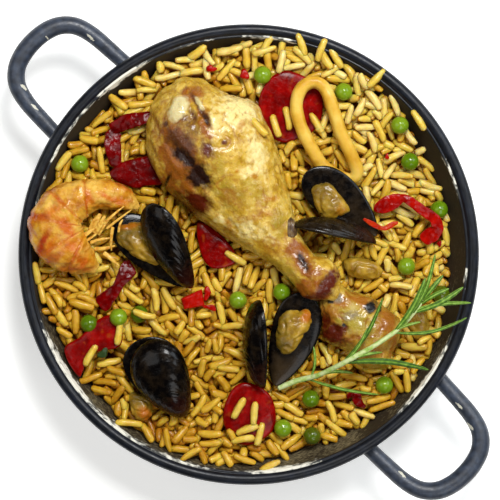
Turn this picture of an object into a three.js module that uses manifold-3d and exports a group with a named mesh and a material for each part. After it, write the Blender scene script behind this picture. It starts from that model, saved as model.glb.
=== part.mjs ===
// A one-portion paella in its own two-handled enamelled steel pan, in millimetres, +Z up.
// The origin is the centre of the pan's underside. The pan, its two handles, the rice and every
// topping are separate solids: toppings sit on the bare rice core, then grains are joined to the core.
import * as THREE from 'three';
import { LoftGeometry } from 'three/addons/geometries/LoftGeometry.js';
import { mergeVertices } from 'three/addons/utils/BufferGeometryUtils.js';
import Module from 'manifold-3d';

const wasm = await Module();
wasm.setup();

// ---------------------------------------------------------------- driving dimensions
const GAP = 0.32; // clearance between neighbouring pieces

const RIM_RADIUS = 105; // outside of the rolled rim
const PAN_HEIGHT = 40;
const SHEET = 1.5; // pan wall, enamel included
const BEAD_RADIUS = 2.6; // rolled rim
const BASE_RADIUS = 79; // flat underside
const CORNER = 6; // bend between base and wall
const WALL_FOOT_RADIUS = 83.5; // inside of the wall just above the bend
const WALL_FOOT_Z = 5;
const WALL_TOP_RADIUS = 98.9; // inside of the wall at the rim
const WALL_TOP_Z = 38.2;
const WALL_ACROSS = SHEET * 1.1; // the leaning wall's thickness, measured level
const BEND_MIDDLE = [0.62, 0.3]; // the middle of the bend, out and up, as shares of its size
const BEAD_FOOT_Z = 34.4; // where the wall runs into the rolled rim
const LIP_STEP = [0.55, 0.15]; // width and height of the lip at the top of the wall
const FLOOR_INSET = 0.5; // the floor ends this far inside the underside's edge
const PAN_SEGMENTS = 54;

// The handles: direction in plan in degrees, and how much longer its legs are than drawn.
const HANDLES = {
  handle_far: [135.5, 0],
  handle_near: [314.3, 2.3],
};
const HANDLE_REACH = 138.7; // centre of the rod at its far end
const HANDLE_HALF_WIDTH = 23; // centre of each leg at the wall
const HANDLE_GAP = GAP + 0.1; // from the legs' ends to the wall
const ROD_RADIUS = 3.65;
const ROD_SWELL = 1.05; // extra radius at the far end
const ROD_Z_WALL = 29;
const ROD_Z_END = 33;
const ROD_RISE_START = 98; // the rod is level nearer to the axis than this

const RICE_CROWN = 31.5; // top of the bare core, under the grains that show
const RICE_FLOOR_Z = SHEET + GAP;
const RICE_CELLS = 28; // cells across the rice: each is as large as one cooked grain
const CORE_STEP = 2; // the bare core's faces span this many cells
const RICE_WALL_GAP = 0.44; // from the rice's edge to the wall
const RICE_FOOT_GAP = 0.64; // the same at the foot of the wall
const RICE_FOOT_Z = WALL_FOOT_Z + 0.6; // where the rice turns in to the floor
const RICE_FLOOR_RADIUS = BASE_RADIUS - 1.5;
const GRAIN_HEIGHT = 2.3; // how far a grain stands above the bare core
const GRAIN_REACH = 0.4; // half a grain's ridge, as a share of its cell

const VALVE_WALL = 1.3; // thickness of a mussel's shell
const PEA_RADIUS = 4.15;

const deg = THREE.MathUtils.degToRad;
const vec = (x, y, z) => new THREE.Vector3(x, y, z);

// ---------------------------------------------------------------- solids and lofts

function signedVolume(geometry) {
  const p = geometry.getAttribute('position');
  const index = geometry.index;
  let volume = 0;
  const [a, b, c] = [vec(), vec(), vec()];
  for (let i = 0; i < index.count; i += 3) {
    a.fromBufferAttribute(p, index.getX(i));
    b.fromBufferAttribute(p, index.getX(i + 1));
    c.fromBufferAttribute(p, index.getX(i + 2));
    volume += a.dot(b.cross(c)) / 6;
  }
  return volume;
}

// A closed geometry as a manifold solid, turned so that its faces point outwards.
function solidOf(geometry) {
  const bare = new THREE.BufferGeometry();
  bare.setAttribute('position', geometry.getAttribute('position'));
  if (geometry.index) bare.setIndex(geometry.index);
  const merged = mergeVertices(bare, 1e-4);
  const outwards = signedVolume(merged) > 0;
  const faces = [];
  for (let i = 0; i < merged.index.count; i += 3) {
    const [a, b, c] = [0, 1, 2].map((k) => merged.index.getX(i + k));
    if (a === b || b === c || c === a) continue;
    faces.push(...(outwards ? [a, b, c] : [a, c, b]));
  }
  const triVerts = new Uint32Array(faces);
  const vertProperties = new Float32Array(merged.getAttribute('position').array);
  return new wasm.Manifold(new wasm.Mesh({ numProp: 3, vertProperties, triVerts }));
}

function geometryOf(solid) {
  const mesh = solid.getMesh();
  const geometry = new THREE.BufferGeometry();
  geometry.setAttribute('position', new THREE.BufferAttribute(mesh.vertProperties, 3));
  geometry.setIndex(new THREE.BufferAttribute(mesh.triVerts, 1));
  geometry.computeVertexNormals();
  return geometry;
}

// The biggest body of a solid: a cut can leave a loose scrap, which is dropped.
function mainBody(solid) {
  const bodies = solid.decompose();
  return bodies.reduce((big, body) => (body.volume() > big.volume() ? body : big));
}

// Skins a row of rings, turned so that the skin faces out at the far end. `ends` is 'flat' for two
// flat caps, 'points' where the end rings are shrunk to points, or 'loop' to join end to start.
function loft(sections, ends = 'flat') {
  const [before, last] = sections.slice(-2);
  const middle = (ring) => ring.reduce((sum, p) => sum.add(p), vec()).divideScalar(ring.length);
  const [from, to] = [middle(before), middle(last)];
  const normal = vec();
  before.forEach((p, i) => {
    const next = before[(i + 1) % before.length];
    normal.add(p.clone().sub(from).cross(next.clone().sub(from)));
  });
  const rings = normal.dot(to.sub(from)) < 0 ? sections.map((ring) => [...ring].reverse()) : sections;
  const rows = ends === 'loop' ? [...rings, rings[0]] : rings;
  return new LoftGeometry(rows, { capStart: ends === 'flat', capEnd: ends === 'flat' });
}

// Values between key rows, by a smooth curve through them: each row is a list of up to six numbers.
function between(keys, count, closed = false) {
  const pad = (row, from) => vec(row[from] ?? 0, row[from + 1] ?? 0, row[from + 2] ?? 0);
  const first = new THREE.CatmullRomCurve3(keys.map((row) => pad(row, 0)), closed, 'centripetal');
  const second = new THREE.CatmullRomCurve3(keys.map((row) => pad(row, 3)), closed, 'catmullrom', 0.5);
  const rows = [];
  const last = closed ? count : count - 1;
  for (let i = 0; i < count; i++) {
    const t = i / last;
    rows.push([...first.getPoint(t).toArray(), ...second.getPoint(t).toArray()]);
  }
  return rows;
}

// An oval section: `across` and `up` are unit vectors, `w` and `h` half sizes.
function oval(centre, across, up, w, h, sides, phase = 0) {
  const ring = [];
  for (let i = 0; i < sides; i++) {
    const a = phase + (i / sides) * 2 * Math.PI;
    ring.push(centre.clone().addScaledVector(across, w * Math.cos(a)).addScaledVector(up, h * Math.sin(a)));
  }
  return ring;
}

// A body swept along stations [x, y, z, half width, half height, twist in degrees], all grown by
// `grow`. Sections stand across the path as seen from above.
function sweep(stations, sides, { grow = 0, closed = false } = {}) {
  const n = stations.length;
  const sections = stations.map(([x, y, z, w, h, twist], i) => {
    const before = stations[closed ? (i + n - 1) % n : Math.max(i - 1, 0)];
    const after = stations[closed ? (i + 1) % n : Math.min(i + 1, n - 1)];
    const along = vec(after[0] - before[0], after[1] - before[1], after[2] - before[2]).normalize();
    const across = vec(along.y, -along.x, 0).normalize();
    const up = vec().crossVectors(across, along).normalize();
    const turn = deg(twist ?? 0);
    const a = across.clone().multiplyScalar(Math.cos(turn)).addScaledVector(up, Math.sin(turn));
    const b = up.clone().multiplyScalar(Math.cos(turn)).addScaledVector(across, -Math.sin(turn));
    const centre = vec(x, y, z);
    if (!closed && i === 0) centre.addScaledVector(along, -grow);
    if (!closed && i === n - 1) centre.addScaledVector(along, grow);
    return oval(centre, a, b, w + grow, h + grow, sides, Math.PI / sides);
  });
  return loft(sections, closed ? 'loop' : 'flat');
}

// Widths that round off both ends of a lump: 0 to 1 and back along its length.
const lumpWidth = (t, blunt = 0.55) => Math.pow(Math.max(Math.sin(Math.PI * t), 0), blunt);

// An uneven oval lump lying along `heading`, such as a piece of meat.
function lump({ at, length, width, height, heading, uneven = 0.12, seed = 1 }, grow = 0) {
  const [x, y, z] = at;
  const direction = vec(Math.cos(deg(heading)), Math.sin(deg(heading)), 0);
  const stations = [];
  const steps = 6;
  for (let i = 0; i <= steps; i++) {
    const t = 0.02 + (0.96 * i) / steps;
    const wobble = 1 + uneven * Math.sin(seed * 2.1 + t * 7.3);
    const s = (t - 0.5) * length;
    const side = uneven * width * 0.35 * Math.sin(seed + t * 5.1);
    stations.push([
      x + direction.x * s - direction.y * side,
      y + direction.y * s + direction.x * side,
      z,
      (width / 2) * lumpWidth(t) * wobble,
      (height / 2) * lumpWidth(t, 0.5),
    ]);
  }
  return sweep(stations, 7, { grow });
}

// ---------------------------------------------------------------- pan

const wallRadius = (z) =>
  WALL_FOOT_RADIUS + ((WALL_TOP_RADIUS - WALL_FOOT_RADIUS) * (z - WALL_FOOT_Z)) / (WALL_TOP_Z - WALL_FOOT_Z);

const BEAD_CENTRE = { r: RIM_RADIUS - BEAD_RADIUS, z: PAN_HEIGHT - BEAD_RADIUS };

function beadArc(from, to, steps, grow) {
  const arc = [];
  for (let i = 0; i <= steps; i++) {
    const a = deg(from + ((to - from) * i) / steps);
    const radius = BEAD_RADIUS + grow;
    arc.push(new THREE.Vector2(BEAD_CENTRE.r + radius * Math.cos(a), BEAD_CENTRE.z + radius * Math.sin(a)));
  }
  return arc;
}

// The pan: flat base, bent corner, flared wall, a worn inner lip, a groove and a rolled bead.
function pan() {
  const point = (r, z) => new THREE.Vector2(r, z);
  const wallOut = (z) => wallRadius(z) + WALL_ACROSS;
  const profile = [
    point(0, 0),
    point(BASE_RADIUS, 0),
    point(BASE_RADIUS + CORNER * BEND_MIDDLE[0], CORNER * BEND_MIDDLE[1]),
    point(wallOut(CORNER), CORNER),
    point(wallOut(BEAD_FOOT_Z), BEAD_FOOT_Z),
    ...beadArc(-105, 155, 5, 0),
    point(WALL_TOP_RADIUS + LIP_STEP[0], WALL_TOP_Z + LIP_STEP[1]),
    point(WALL_TOP_RADIUS, WALL_TOP_Z),
    point(WALL_FOOT_RADIUS, WALL_FOOT_Z),
    point(BASE_RADIUS - FLOOR_INSET, SHEET),
    point(0, SHEET),
  ];
  return solidOf(new THREE.LatheGeometry(profile, PAN_SEGMENTS).rotateX(Math.PI / 2));
}

// The pan filled solid and grown by the gap, to cut the handles' ends to the wall.
function panBlank() {
  const point = (r, z) => new THREE.Vector2(r, z);
  const grow = WALL_ACROSS + HANDLE_GAP;
  const profile = [
    point(0, -GAP),
    point(wallRadius(0) + grow, -GAP),
    point(wallRadius(BEAD_FOOT_Z) + grow, BEAD_FOOT_Z),
    ...beadArc(-90, 90, 4, GAP),
    point(0, PAN_HEIGHT + GAP),
  ];
  return solidOf(new THREE.LatheGeometry(profile, PAN_SEGMENTS).rotateX(Math.PI / 2));
}

// One handle in its own frame, reaching out along +X: a round rod bent to a loop whose two ends
// meet the wall under the rim, with its legs `longer` than drawn. The rod swells a little at the
// far end.
function handleGeometry(longer) {
  const half = [
    [92 - longer, HANDLE_HALF_WIDTH],
    [112, HANDLE_HALF_WIDTH - 0.7],
    [122, HANDLE_HALF_WIDTH - 1.5],
    [130, HANDLE_HALF_WIDTH - 4],
    [135.4, HANDLE_HALF_WIDTH - 9.2],
    [138, HANDLE_HALF_WIDTH - 16],
  ];
  const points = [...half, [HANDLE_REACH, 0], ...half.map(([a, b]) => [a, -b]).reverse()];
  const reach = (a) => THREE.MathUtils.clamp((a - ROD_RISE_START) / (HANDLE_REACH - ROD_RISE_START), 0, 1);
  const keys = points.map(([a, b]) => [
    a + longer,
    b,
    THREE.MathUtils.lerp(ROD_Z_WALL, ROD_Z_END, reach(a)),
    ROD_RADIUS + ROD_SWELL * reach(a) ** 2,
    ROD_RADIUS + ROD_SWELL * reach(a) ** 2,
  ]);
  const rod = solidOf(sweep(between(keys, 18), 8));
  return geometryOf(mainBody(rod.subtract(panBlank())));
}

// ---------------------------------------------------------------- rice core

// Height at which the bare rice meets the wall, by direction: it dips at the right and at the
// lower right, and is heaped to the rim at the left and at the top.
const EDGE_HEIGHTS = [25, 30.5, 34.5, 29.5, 34, 30, 31.5, 28]; // every 45 degrees from +X

function edgeHeight(angle) {
  const step = (((angle / deg(45)) % 8) + 8) % 8;
  const low = Math.floor(step);
  const blend = (1 - Math.cos((step - low) * Math.PI)) / 2;
  return THREE.MathUtils.lerp(EDGE_HEIGHTS[low % 8], EDGE_HEIGHTS[(low + 1) % 8], blend);
}

// Hollows pressed in the rice by the heavy pieces: [x, y, radius, depth].
const HOLLOWS = [
  [-17, 48, 34, 11],
  [4, 18, 22, 6],
  [-45, 5, 26, 5],
  [42, 22, 26, 5],
  [17, -40, 24, 5.5],
  [-37, -60, 20, 5],
  [50, -34, 26, 6],
  [-84, 12, 20, 3],
];

function riceTop(x, y) {
  const angle = Math.atan2(y, x);
  const edge = edgeHeight(angle);
  const reach = Math.min(Math.hypot(x, y) / (wallRadius(edge) - GAP), 1);
  let z = THREE.MathUtils.lerp(RICE_CROWN, edge, reach ** 3.4);
  z += 0.7 * Math.sin(x / 8.5 + 1) * Math.cos(y / 10) * (1 - reach ** 4);
  for (const [hx, hy, radius, depth] of HOLLOWS) {
    const d = Math.hypot(x - hx, y - hy) / radius;
    if (d < 1) z -= depth * (1 - d * d) ** 2 * (1 - reach ** 8);
  }
  return z;
}

// A point of the unit square mapped to the unit disc, keeping areas alike.
function squareToDisc(u, v) {
  if (u === 0 && v === 0) return [0, 0];
  const flat = Math.abs(u) > Math.abs(v);
  const angle = flat ? (Math.PI / 4) * (v / u) : Math.PI / 2 - (Math.PI / 4) * (u / v);
  const r = flat ? u : v;
  return [r * Math.cos(angle), r * Math.sin(angle)];
}

// A point of the bare core's top by its place in the grid of cells. Points between the core's own
// corners lie on its flat faces, so the core is the same shape at every step.
function corePoint(i, j, grow) {
  const [di, dj] = [i % CORE_STEP, j % CORE_STEP];
  if (di || dj) {
    const before = corePoint(i - di, j - dj, grow);
    return before.add(corePoint(i + di, j + dj, grow)).multiplyScalar(0.5);
  }
  const [u, v] = squareToDisc((2 * i) / RICE_CELLS - 1, (2 * j) / RICE_CELLS - 1);
  const edge = wallRadius(edgeHeight(Math.atan2(v, u)) + grow) - RICE_WALL_GAP;
  return vec(u * edge, v * edge, riceTop(u * edge, v * edge) + grow);
}

// The rice: a grid of cells over the disc, closed down the wall and across the floor. `ridgeOf`
// may give a cell's grain, as the two ends of its ridge; without one the cell stays flat.
function riceSolid(step, grow = 0, ridgeOf = () => null) {
  const cells = RICE_CELLS / step;
  const points = [];
  const faces = [];
  const add = (p) => points.push(p) - 1;
  for (let j = 0; j <= cells; j++) {
    for (let i = 0; i <= cells; i++) add(corePoint(i * step, j * step, grow));
  }
  const id = (i, j) => j * (cells + 1) + i;
  for (let j = 0; j < cells; j++) {
    for (let i = 0; i < cells; i++) {
      const ring = [id(i, j), id(i + 1, j), id(i + 1, j + 1), id(i, j + 1)];
      const ridge = ridgeOf(ring.map((k) => points[k]));
      if (ridge) faces.push(...roof(ring, points, ridge.map(add)));
      else faces.push([ring[0], ring[1], ring[2]], [ring[0], ring[2], ring[3]]);
    }
  }
  const border = [];
  for (let k = 0; k < cells; k++) border.push(id(k, 0));
  for (let k = 0; k < cells; k++) border.push(id(cells, k));
  for (let k = cells; k > 0; k--) border.push(id(k, cells));
  for (let k = cells; k > 0; k--) border.push(id(0, k));
  const dropped = (radius, z) =>
    border.map((k) => {
      const angle = Math.atan2(points[k].y, points[k].x);
      return add(vec(radius * Math.cos(angle), radius * Math.sin(angle), z));
    });
  const foot = dropped(wallRadius(WALL_FOOT_Z) - RICE_FOOT_GAP, RICE_FOOT_Z);
  const floor = dropped(RICE_FLOOR_RADIUS, RICE_FLOOR_Z);
  const middle = add(vec(0, 0, RICE_FLOOR_Z));
  border.forEach((top, k) => {
    const next = (k + 1) % border.length;
    faces.push([top, foot[k], foot[next]], [top, foot[next], border[next]]);
    faces.push([foot[k], floor[k], floor[next]], [foot[k], floor[next], foot[next]]);
    faces.push([floor[k], middle, floor[next]]);
  });
  const geometry = new THREE.BufferGeometry().setFromPoints(points);
  geometry.setIndex(faces.flat());
  return solidOf(geometry);
}

// Faces of a hipped roof over a four-sided ring: each side leans to the nearer end of the ridge.
function roof(ring, points, ends) {
  const faces = [];
  const nearer = ring.map((k, side) => {
    const mid = points[k].clone().add(points[ring[(side + 1) % 4]]).multiplyScalar(0.5);
    return points[ends[0]].distanceTo(mid) < points[ends[1]].distanceTo(mid) ? 0 : 1;
  });
  ring.forEach((k, side) => {
    const before = nearer[(side + 3) % 4];
    faces.push([k, ring[(side + 1) % 4], ends[nearer[side]]]);
    if (before !== nearer[side]) faces.push([k, ends[nearer[side]], ends[before]]);
  });
  return faces;
}

// ---------------------------------------------------------------- mussels

// One valve, thin and domed, from its pointed hinge at the local origin to its round end on +X.
// Its dome points to local +Z and its open side to -Z.
function valve([length, width, depth], grow = 0) {
  const wall = VALVE_WALL;
  const columns = 12;
  const apex = [0.42 * length, 0]; // the dome is highest a little nearer to the hinge
  const outline = (scale, z, shrink) => {
    const ring = [];
    for (let i = 0; i < columns; i++) {
      const a = (i / columns) * 2 * Math.PI;
      const x = (length / 2) * (1 - Math.cos(a));
      const swell = 0.47 * Math.sin(a) * (1 - 0.34 * Math.cos(a)) + 0.05 * Math.sin(a) ** 2;
      const y = width * swell;
      const dx = x - apex[0];
      const dy = y - apex[1];
      const far = Math.hypot(dx, dy);
      const inset = (far - shrink) / far;
      ring.push(vec(apex[0] + dx * scale * inset, apex[1] + dy * scale * inset, z));
    }
    return ring;
  };
  const outside = [
    [1, 0],
    [0.86, 0.5],
    [0.5, 0.88],
    [0, 1],
  ];
  const inside = [...outside].reverse();
  const sections = [
    ...inside.map(([scale, rise]) => outline(scale, rise * (depth - wall) - grow, wall + grow)),
    ...outside.map(([scale, rise]) => outline(scale, rise * (depth + grow) - (rise ? 0 : grow), -grow)),
  ];
  return loft(sections, 'points');
}

// Puts a valve in place: hinge at [x, y, z], pointing along `heading`, its far end raised by
// `pitch` and rolled about its own length (180 shows the inside).
function placedValve({ at, turned: [heading, pitch, roll], size }, grow = 0) {
  const geometry = valve(size, grow);
  const turn = new THREE.Euler(deg(roll), -deg(pitch), deg(heading), 'ZYX');
  const matrix = new THREE.Matrix4().makeRotationFromEuler(turn).setPosition(...at);
  return geometry.applyMatrix4(matrix);
}

const VALVES = {
  // name: where the hinge is, then [heading, pitch, roll] and [length, width, depth]
  mussel_left_valve_lower: { at: [-26.5, -14.5, 38], turned: [138, 3, 186], size: [46, 22, 7] },
  mussel_left_valve_upper: { at: [-25.5, -15, 41.5], turned: [115, 20, -38], size: [45, 22, 8] },
  mussel_right_valve_lower: { at: [58.5, 8.5, 39], turned: [139, 6, 176], size: [44, 22, 7] },
  mussel_right_valve_upper: { at: [58, 4.4, 40], turned: [168, 7, 84], size: [40, 20, 8] },
  mussel_front_valve_lower: { at: [12, -60, 38], turned: [72, 5, 184], size: [45, 23, 7] },
  mussel_front_valve_upper: { at: [7.6, -61, 39.5], turned: [93, 14, -72], size: [42, 22, 9] },
  mussel_near_valve_lower: { at: [-33, -72, 35], turned: [119, 7, 178], size: [38, 27, 6] },
  mussel_near_valve_upper: { at: [-29, -74, 36.5], turned: [115, 13, -12], size: [40, 27, 9.5] },
};

const MEATS = {
  mussel_left_meat: { at: [-49, 3.5, 40.5], length: 22, width: 15, height: 9, heading: 135, seed: 2 },
  mussel_right_meat: { at: [36, 24.5, 42], length: 20, width: 12, height: 9, heading: 130, seed: 4 },
  mussel_front_meat: { at: [20.5, -35.5, 42.5], length: 21, width: 14, height: 9, heading: 72, seed: 5 },
  mussel_near_meat: { at: [-50.5, -68, 34.5], length: 12, width: 8.5, height: 7, heading: -60, seed: 3 },
  loose_mussel_meat: { at: [52, -6.1, 34], length: 20, width: 10.5, height: 8, heading: -8, seed: 6 },
  ringed_mussel_meat: { at: [77.4, -30.2, 32.5], length: 18, width: 11, height: 8, heading: -72, seed: 7 },
};

// The onion tip is set in a notch at the drumstick's right edge, so it is placed before it.
const ONION_TIP = { at: [18.6, 11.2, 47], length: 10, width: 5.6, height: 7, heading: 82, uneven: 0.05 };

// ---------------------------------------------------------------- chicken and prawn

// The drumstick, along its bone from the knuckle: [distance, sideways, height, half width,
// half height].
const DRUM_FOOT = [35.5, -19.8];
const DRUM_HEADING = 130;
const DRUM_KEYS = [
  [0, 3, 44, 3.5, 3],
  [5, 3.4, 44, 9.8, 7.4],
  [11, 2, 43.6, 11.6, 8.4],
  [17, 0, 43, 8, 7],
  [28, 0, 41.5, 9.2, 8],
  [43, 0.5, 39.5, 15, 12.5],
  [60, 0.5, 37, 22.4, 17.5],
  [78, 1.6, 36, 28, 21.4],
  [92, 3.6, 36, 29.2, 22],
  [103, 7.4, 36, 24, 19],
  [111, 12, 36, 15.5, 13],
  [117.5, 18.5, 36, 5, 5],
];

function drumstick(grow = 0) {
  const along = [Math.cos(deg(DRUM_HEADING)), Math.sin(deg(DRUM_HEADING))];
  const keys = DRUM_KEYS.map(([s, side, z, w, h]) => [
    DRUM_FOOT[0] + along[0] * s + along[1] * side,
    DRUM_FOOT[1] + along[1] * s - along[0] * side,
    z,
    w,
    h,
  ]);
  return sweep(between(keys, 17), 12, { grow });
}

// The browned thigh piece, from its end by the knuckle to its blunt outer end.
const THIGH_KEYS = [
  [31.5, -17, 36, 5, 4],
  [36, -20.5, 36, 11, 8.5],
  [43, -26.5, 36, 15, 11.5],
  [51, -33.5, 36, 17, 12.5],
  [58, -40, 35.5, 16.5, 11.5],
  [63, -44.5, 35, 13.5, 8.5],
  [66, -47, 34.5, 7, 4],
];

const thigh = (grow = 0) => sweep(between(THIGH_KEYS, 10), 10, { grow });

// The peeled prawn, curled round a point: by angle from its tail to its cut end, the radius of
// its outer edge and the half thickness there.
const PRAWN_CENTRE = [-72.6, 12.4];
const PRAWN_INNER_RADIUS = 3.4;
const PRAWN_KEYS = [
  // angle, outer radius, half thickness, height, half height
  [20, 26, 1.6, 38.5, 1.5],
  [34, 25.8, 4.4, 39.5, 4],
  [52, 24.6, 6.6, 40.5, 6],
  [72, 23, 7.2, 41.5, 7],
  [95, 22, 7.8, 42, 8],
  [120, 23.2, 9.6, 42.5, 8.8],
  [146, 25.4, 11.4, 43, 9.4],
  [174, 27.6, 12.8, 43.6, 9.6],
  [200, 27, 12.4, 43, 9.4],
  [226, 25.2, 10.8, 42, 8.6],
  [250, 22.8, 8.4, 40.5, 7.4],
  [268, 22, 5.2, 39, 5],
  [279, 22, 1.8, 38, 2],
];

function prawn(grow = 0) {
  const rows = between(PRAWN_KEYS, 21);
  const stations = rows.map(([angle, outer, half, z, h], i) => {
    const segment = i % 4 === 3 ? 0.95 : 1.01; // the joints between segments are nipped in
    const inner = Math.max(outer - 2 * half, PRAWN_INNER_RADIUS);
    const r = (inner + outer * segment) / 2;
    return [
      PRAWN_CENTRE[0] + r * Math.cos(deg(angle)),
      PRAWN_CENTRE[1] + r * Math.sin(deg(angle)),
      z,
      r - inner,
      h * segment,
    ];
  });
  return sweep(stations, 8, { grow });
}

// ---------------------------------------------------------------- squid, slices, peppers, peas

// The squid ring's band, pulled long, with its near end under the mussel: [x, y, z].
const SQUID_PATH = [
  [29.7, 78.4, 40.5],
  [24, 75.4, 40.5],
  [21.6, 68, 40.5],
  [23.8, 58, 40],
  [28.5, 48.9, 38.5],
  [33.4, 41, 36],
  [40.6, 36, 34.4],
  [47, 34.4, 34.6],
  [49.5, 38, 36],
  [47.2, 44.6, 38],
  [42.2, 54.8, 39.5],
  [38.6, 65, 40.5],
  [35, 75, 40.5],
];
const SQUID_HALF = [3.4, 3.9];

const squidRing = (grow = 0) =>
  sweep(between(SQUID_PATH.map((p) => [...p, ...SQUID_HALF]), 24, true), 6, { grow, closed: true });

// A round slice with a rounded edge, tilted to lie on the rice.
function slice({ at, radii, thick, tilt = [0, 0] }, grow = 0) {
  const point = (r, z) => new THREE.Vector2(r, z);
  const half = thick / 2 + grow;
  const g = grow / radii[0];
  const profile = [
    point(0, -half),
    point(0.93, -half),
    point(1 + g, -half * 0.4),
    point(1 + g, half * 0.4),
    point(0.93, half),
    point(0, half),
  ];
  const geometry = new THREE.LatheGeometry(profile, 16).rotateX(Math.PI / 2);
  geometry.scale(radii[0], radii[1], 1);
  geometry.rotateX(deg(tilt[0])).rotateY(deg(tilt[1]));
  return geometry.translate(...at);
}

const CHORIZO_SLICES = {
  chorizo_top: { at: [19.2, 67.5, 35], radii: [15, 16.4], thick: 3.2, tilt: [-6, 4] },
  chorizo_front: { at: [0.2, -73, 34.4], radii: [12.3, 14.4], thick: 3.6, tilt: [6, 2] },
};

// A flat cut piece: its outline in plan, its thickness, the height of its middle, its slopes and
// how much it is dished.
function cutPiece({ outline, thick, z, slope = [0, 0], dish = 0 }, grow = 0) {
  const points = outline.map(([x, y]) => new THREE.Vector2(x, y));
  const middle = points.reduce((sum, p) => sum.add(p), new THREE.Vector2()).divideScalar(points.length);
  for (const p of points) {
    const out = p.clone().sub(middle);
    p.add(out.setLength(grow));
  }
  const depth = thick + 2 * grow;
  const options = { depth: depth * 0.6, bevelThickness: depth * 0.2, bevelSize: 0.5, bevelOffset: -0.5 };
  const geometry = new THREE.ExtrudeGeometry(new THREE.Shape(points), { ...options, bevelSegments: 1 });
  const position = geometry.getAttribute('position');
  for (let i = 0; i < position.count; i++) {
    const dx = position.getX(i) - middle.x;
    const dy = position.getY(i) - middle.y;
    const lift = slope[0] * dx + slope[1] * dy + dish * (dx * dx + dy * dy);
    position.setZ(i, position.getZ(i) + z - depth * 0.3 + lift);
  }
  return geometry;
}

const CUT_PIECES = {
  pepper_under_drumstick: {
    outline: [[-64, 36], [-57, 42.6], [-43, 45.4], [-38, 44], [-39, 33], [-46, 31.4], [-53, 30.4]],
    thick: 2.6,
    z: 34.6,
    slope: [0.03, 0],
    dish: 0.008,
  },
  chorizo_centre: {
    outline: [[-23.4, 14.6], [-15, 11], [-7.4, 3], [-5.2, -3.2], [-11, -6.2], [-18, -5.8], [-22.4, 1.6]],
    thick: 3,
    z: 33.4,
    slope: [-0.04, -0.03],
  },
  chorizo_left: {
    outline: [
      [-84.3, -44], [-82.4, -40.6], [-77, -37.6], [-71.8, -32.4], [-67.8, -28.9], [-63.1, -27.5],
      [-57.6, -29.8], [-57.1, -35.6], [-59, -42.2], [-69.5, -44.5], [-74.1, -48.3], [-76.5, -50.9],
      [-77, -56.4], [-81.7, -50.6],
    ],
    thick: 3.4,
    z: 36,
    slope: [0.05, -0.03],
    dish: -0.003,
  },
  pepper_cube: {
    outline: [[-31.2, -20.4], [-24, -16.4], [-18, -15.2], [-19.6, -21.8], [-21.8, -24.6], [-30, -25.4]],
    thick: 3.6,
    z: 35.4,
    slope: [0.02, 0.05],
  },
};

// Soft strips: stations [x, y, z, half width, half thickness, twist].
const STRIPS = {
  pepper_strip_far: [
    [-62.4, 57.4, 35, 1.6, 1, 0],
    [-55, 60.6, 37.4, 2.2, 1.2, 20],
    [-48, 62, 38, 2.2, 1.2, 25],
    [-41.4, 64, 36.6, 1.4, 1, 10],
  ],
  pepper_strip_side: [
    [-61.6, 55.6, 34.6, 3.2, 1, 10],
    [-62.2, 51, 35.4, 3.6, 1.1, 25],
    [-61.4, 45.6, 35.8, 3.3, 1.1, 20],
    [-60.6, 41.4, 34.6, 2.2, 0.9, 10],
  ],
  pepper_strip_left: [
    [-54, -5.6, 34.6, 3, 1, 0],
    [-58, -11.6, 36, 3.6, 1.2, 10],
    [-61.6, -17.2, 35.8, 3.4, 1.2, 15],
    [-66.6, -22, 34.6, 2.6, 0.9, 0],
  ],
  pepper_curl_right: [
    [60.4, 21.4, 36, 3, 1.1, -10],
    [67, 25.4, 37.6, 3.4, 1.3, -15],
    [74, 24.2, 38, 2.8, 1.2, 5],
    [80.4, 19.4, 36.6, 3, 1.2, 20],
    [85.2, 13.4, 34.6, 3.4, 1.2, 20],
    [81.8, 7.6, 33, 2.6, 1, 5],
  ],
  pepper_sliver: [
    [53, 16.4, 42.6, 1, 0.7, 0],
    [58, 14, 41.4, 1.4, 0.9, 0],
    [63, 12.6, 39.6, 1.5, 1, 0],
    [68, 13, 37.6, 1, 0.7, 0],
  ],
  pepper_shred_near: [
    [45, -65.4, 31.6, 1.6, 0.9, 0],
    [48.6, -63.6, 32.8, 2, 1, 20],
    [49.8, -67.4, 32.6, 1.9, 1, 0],
    [53.4, -70, 31.4, 1.4, 0.8, 0],
  ],
};

const strip = (keys, grow = 0) => sweep(between(keys, 2 * keys.length - 1), 4, { grow });

// Peas: [x, y, how far the pea's middle stands above the bare rice].
const PEAS = [
  [-77.1, 41.4, 4.6],
  [6.3, 81.8, 4.6],
  [43.3, 74.3, 4.6],
  [69, 59.1, 4.6],
  [-4.9, -20.9, 4.2],
  [-59.3, -28.6, 7],
  [72.2, -5.5, 4],
  [15, -17.2, 5.2],
  [62, -59.8, 4.6],
  [28.4, -66.1, 3.2],
  [15.6, -79.4, 3.8],
  [29, -83, 2.6],
  [-73, -31.6, 3.2],
  [73.8, 42.5, 2.4],
  [87.4, 20.6, 4],
  [88.2, -18.2, 4.4],
  [-50, -27.4, 2.8],
];

function pea([x, y, rise], grow = 0) {
  const radius = PEA_RADIUS + grow;
  const geometry = new THREE.SphereGeometry(radius, 7, 5).rotateX(Math.PI / 2);
  return geometry.translate(x, y, riceTop(x, y) + rise);
}

// ---------------------------------------------------------------- rosemary

// The stem, from its cut end to its tip: [x, y, z, radius, radius].
const STEM_KEYS = [
  [14.5, -60.6, 36.4, 1.3, 1.3],
  [21.5, -57.6, 38.4, 1.35, 1.35],
  [28, -55.8, 41, 1.3, 1.3],
  [33, -54, 44, 1.25, 1.25],
  [44.8, -47.6, 50.4, 1.25, 1.25],
  [60.2, -38.6, 51.4, 1.15, 1.15],
  [69.4, -31.6, 50.4, 1.05, 1.05],
  [75.4, -25, 49.6, 0.8, 0.8],
  [79, -20, 49.2, 0.5, 0.5],
];

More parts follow.
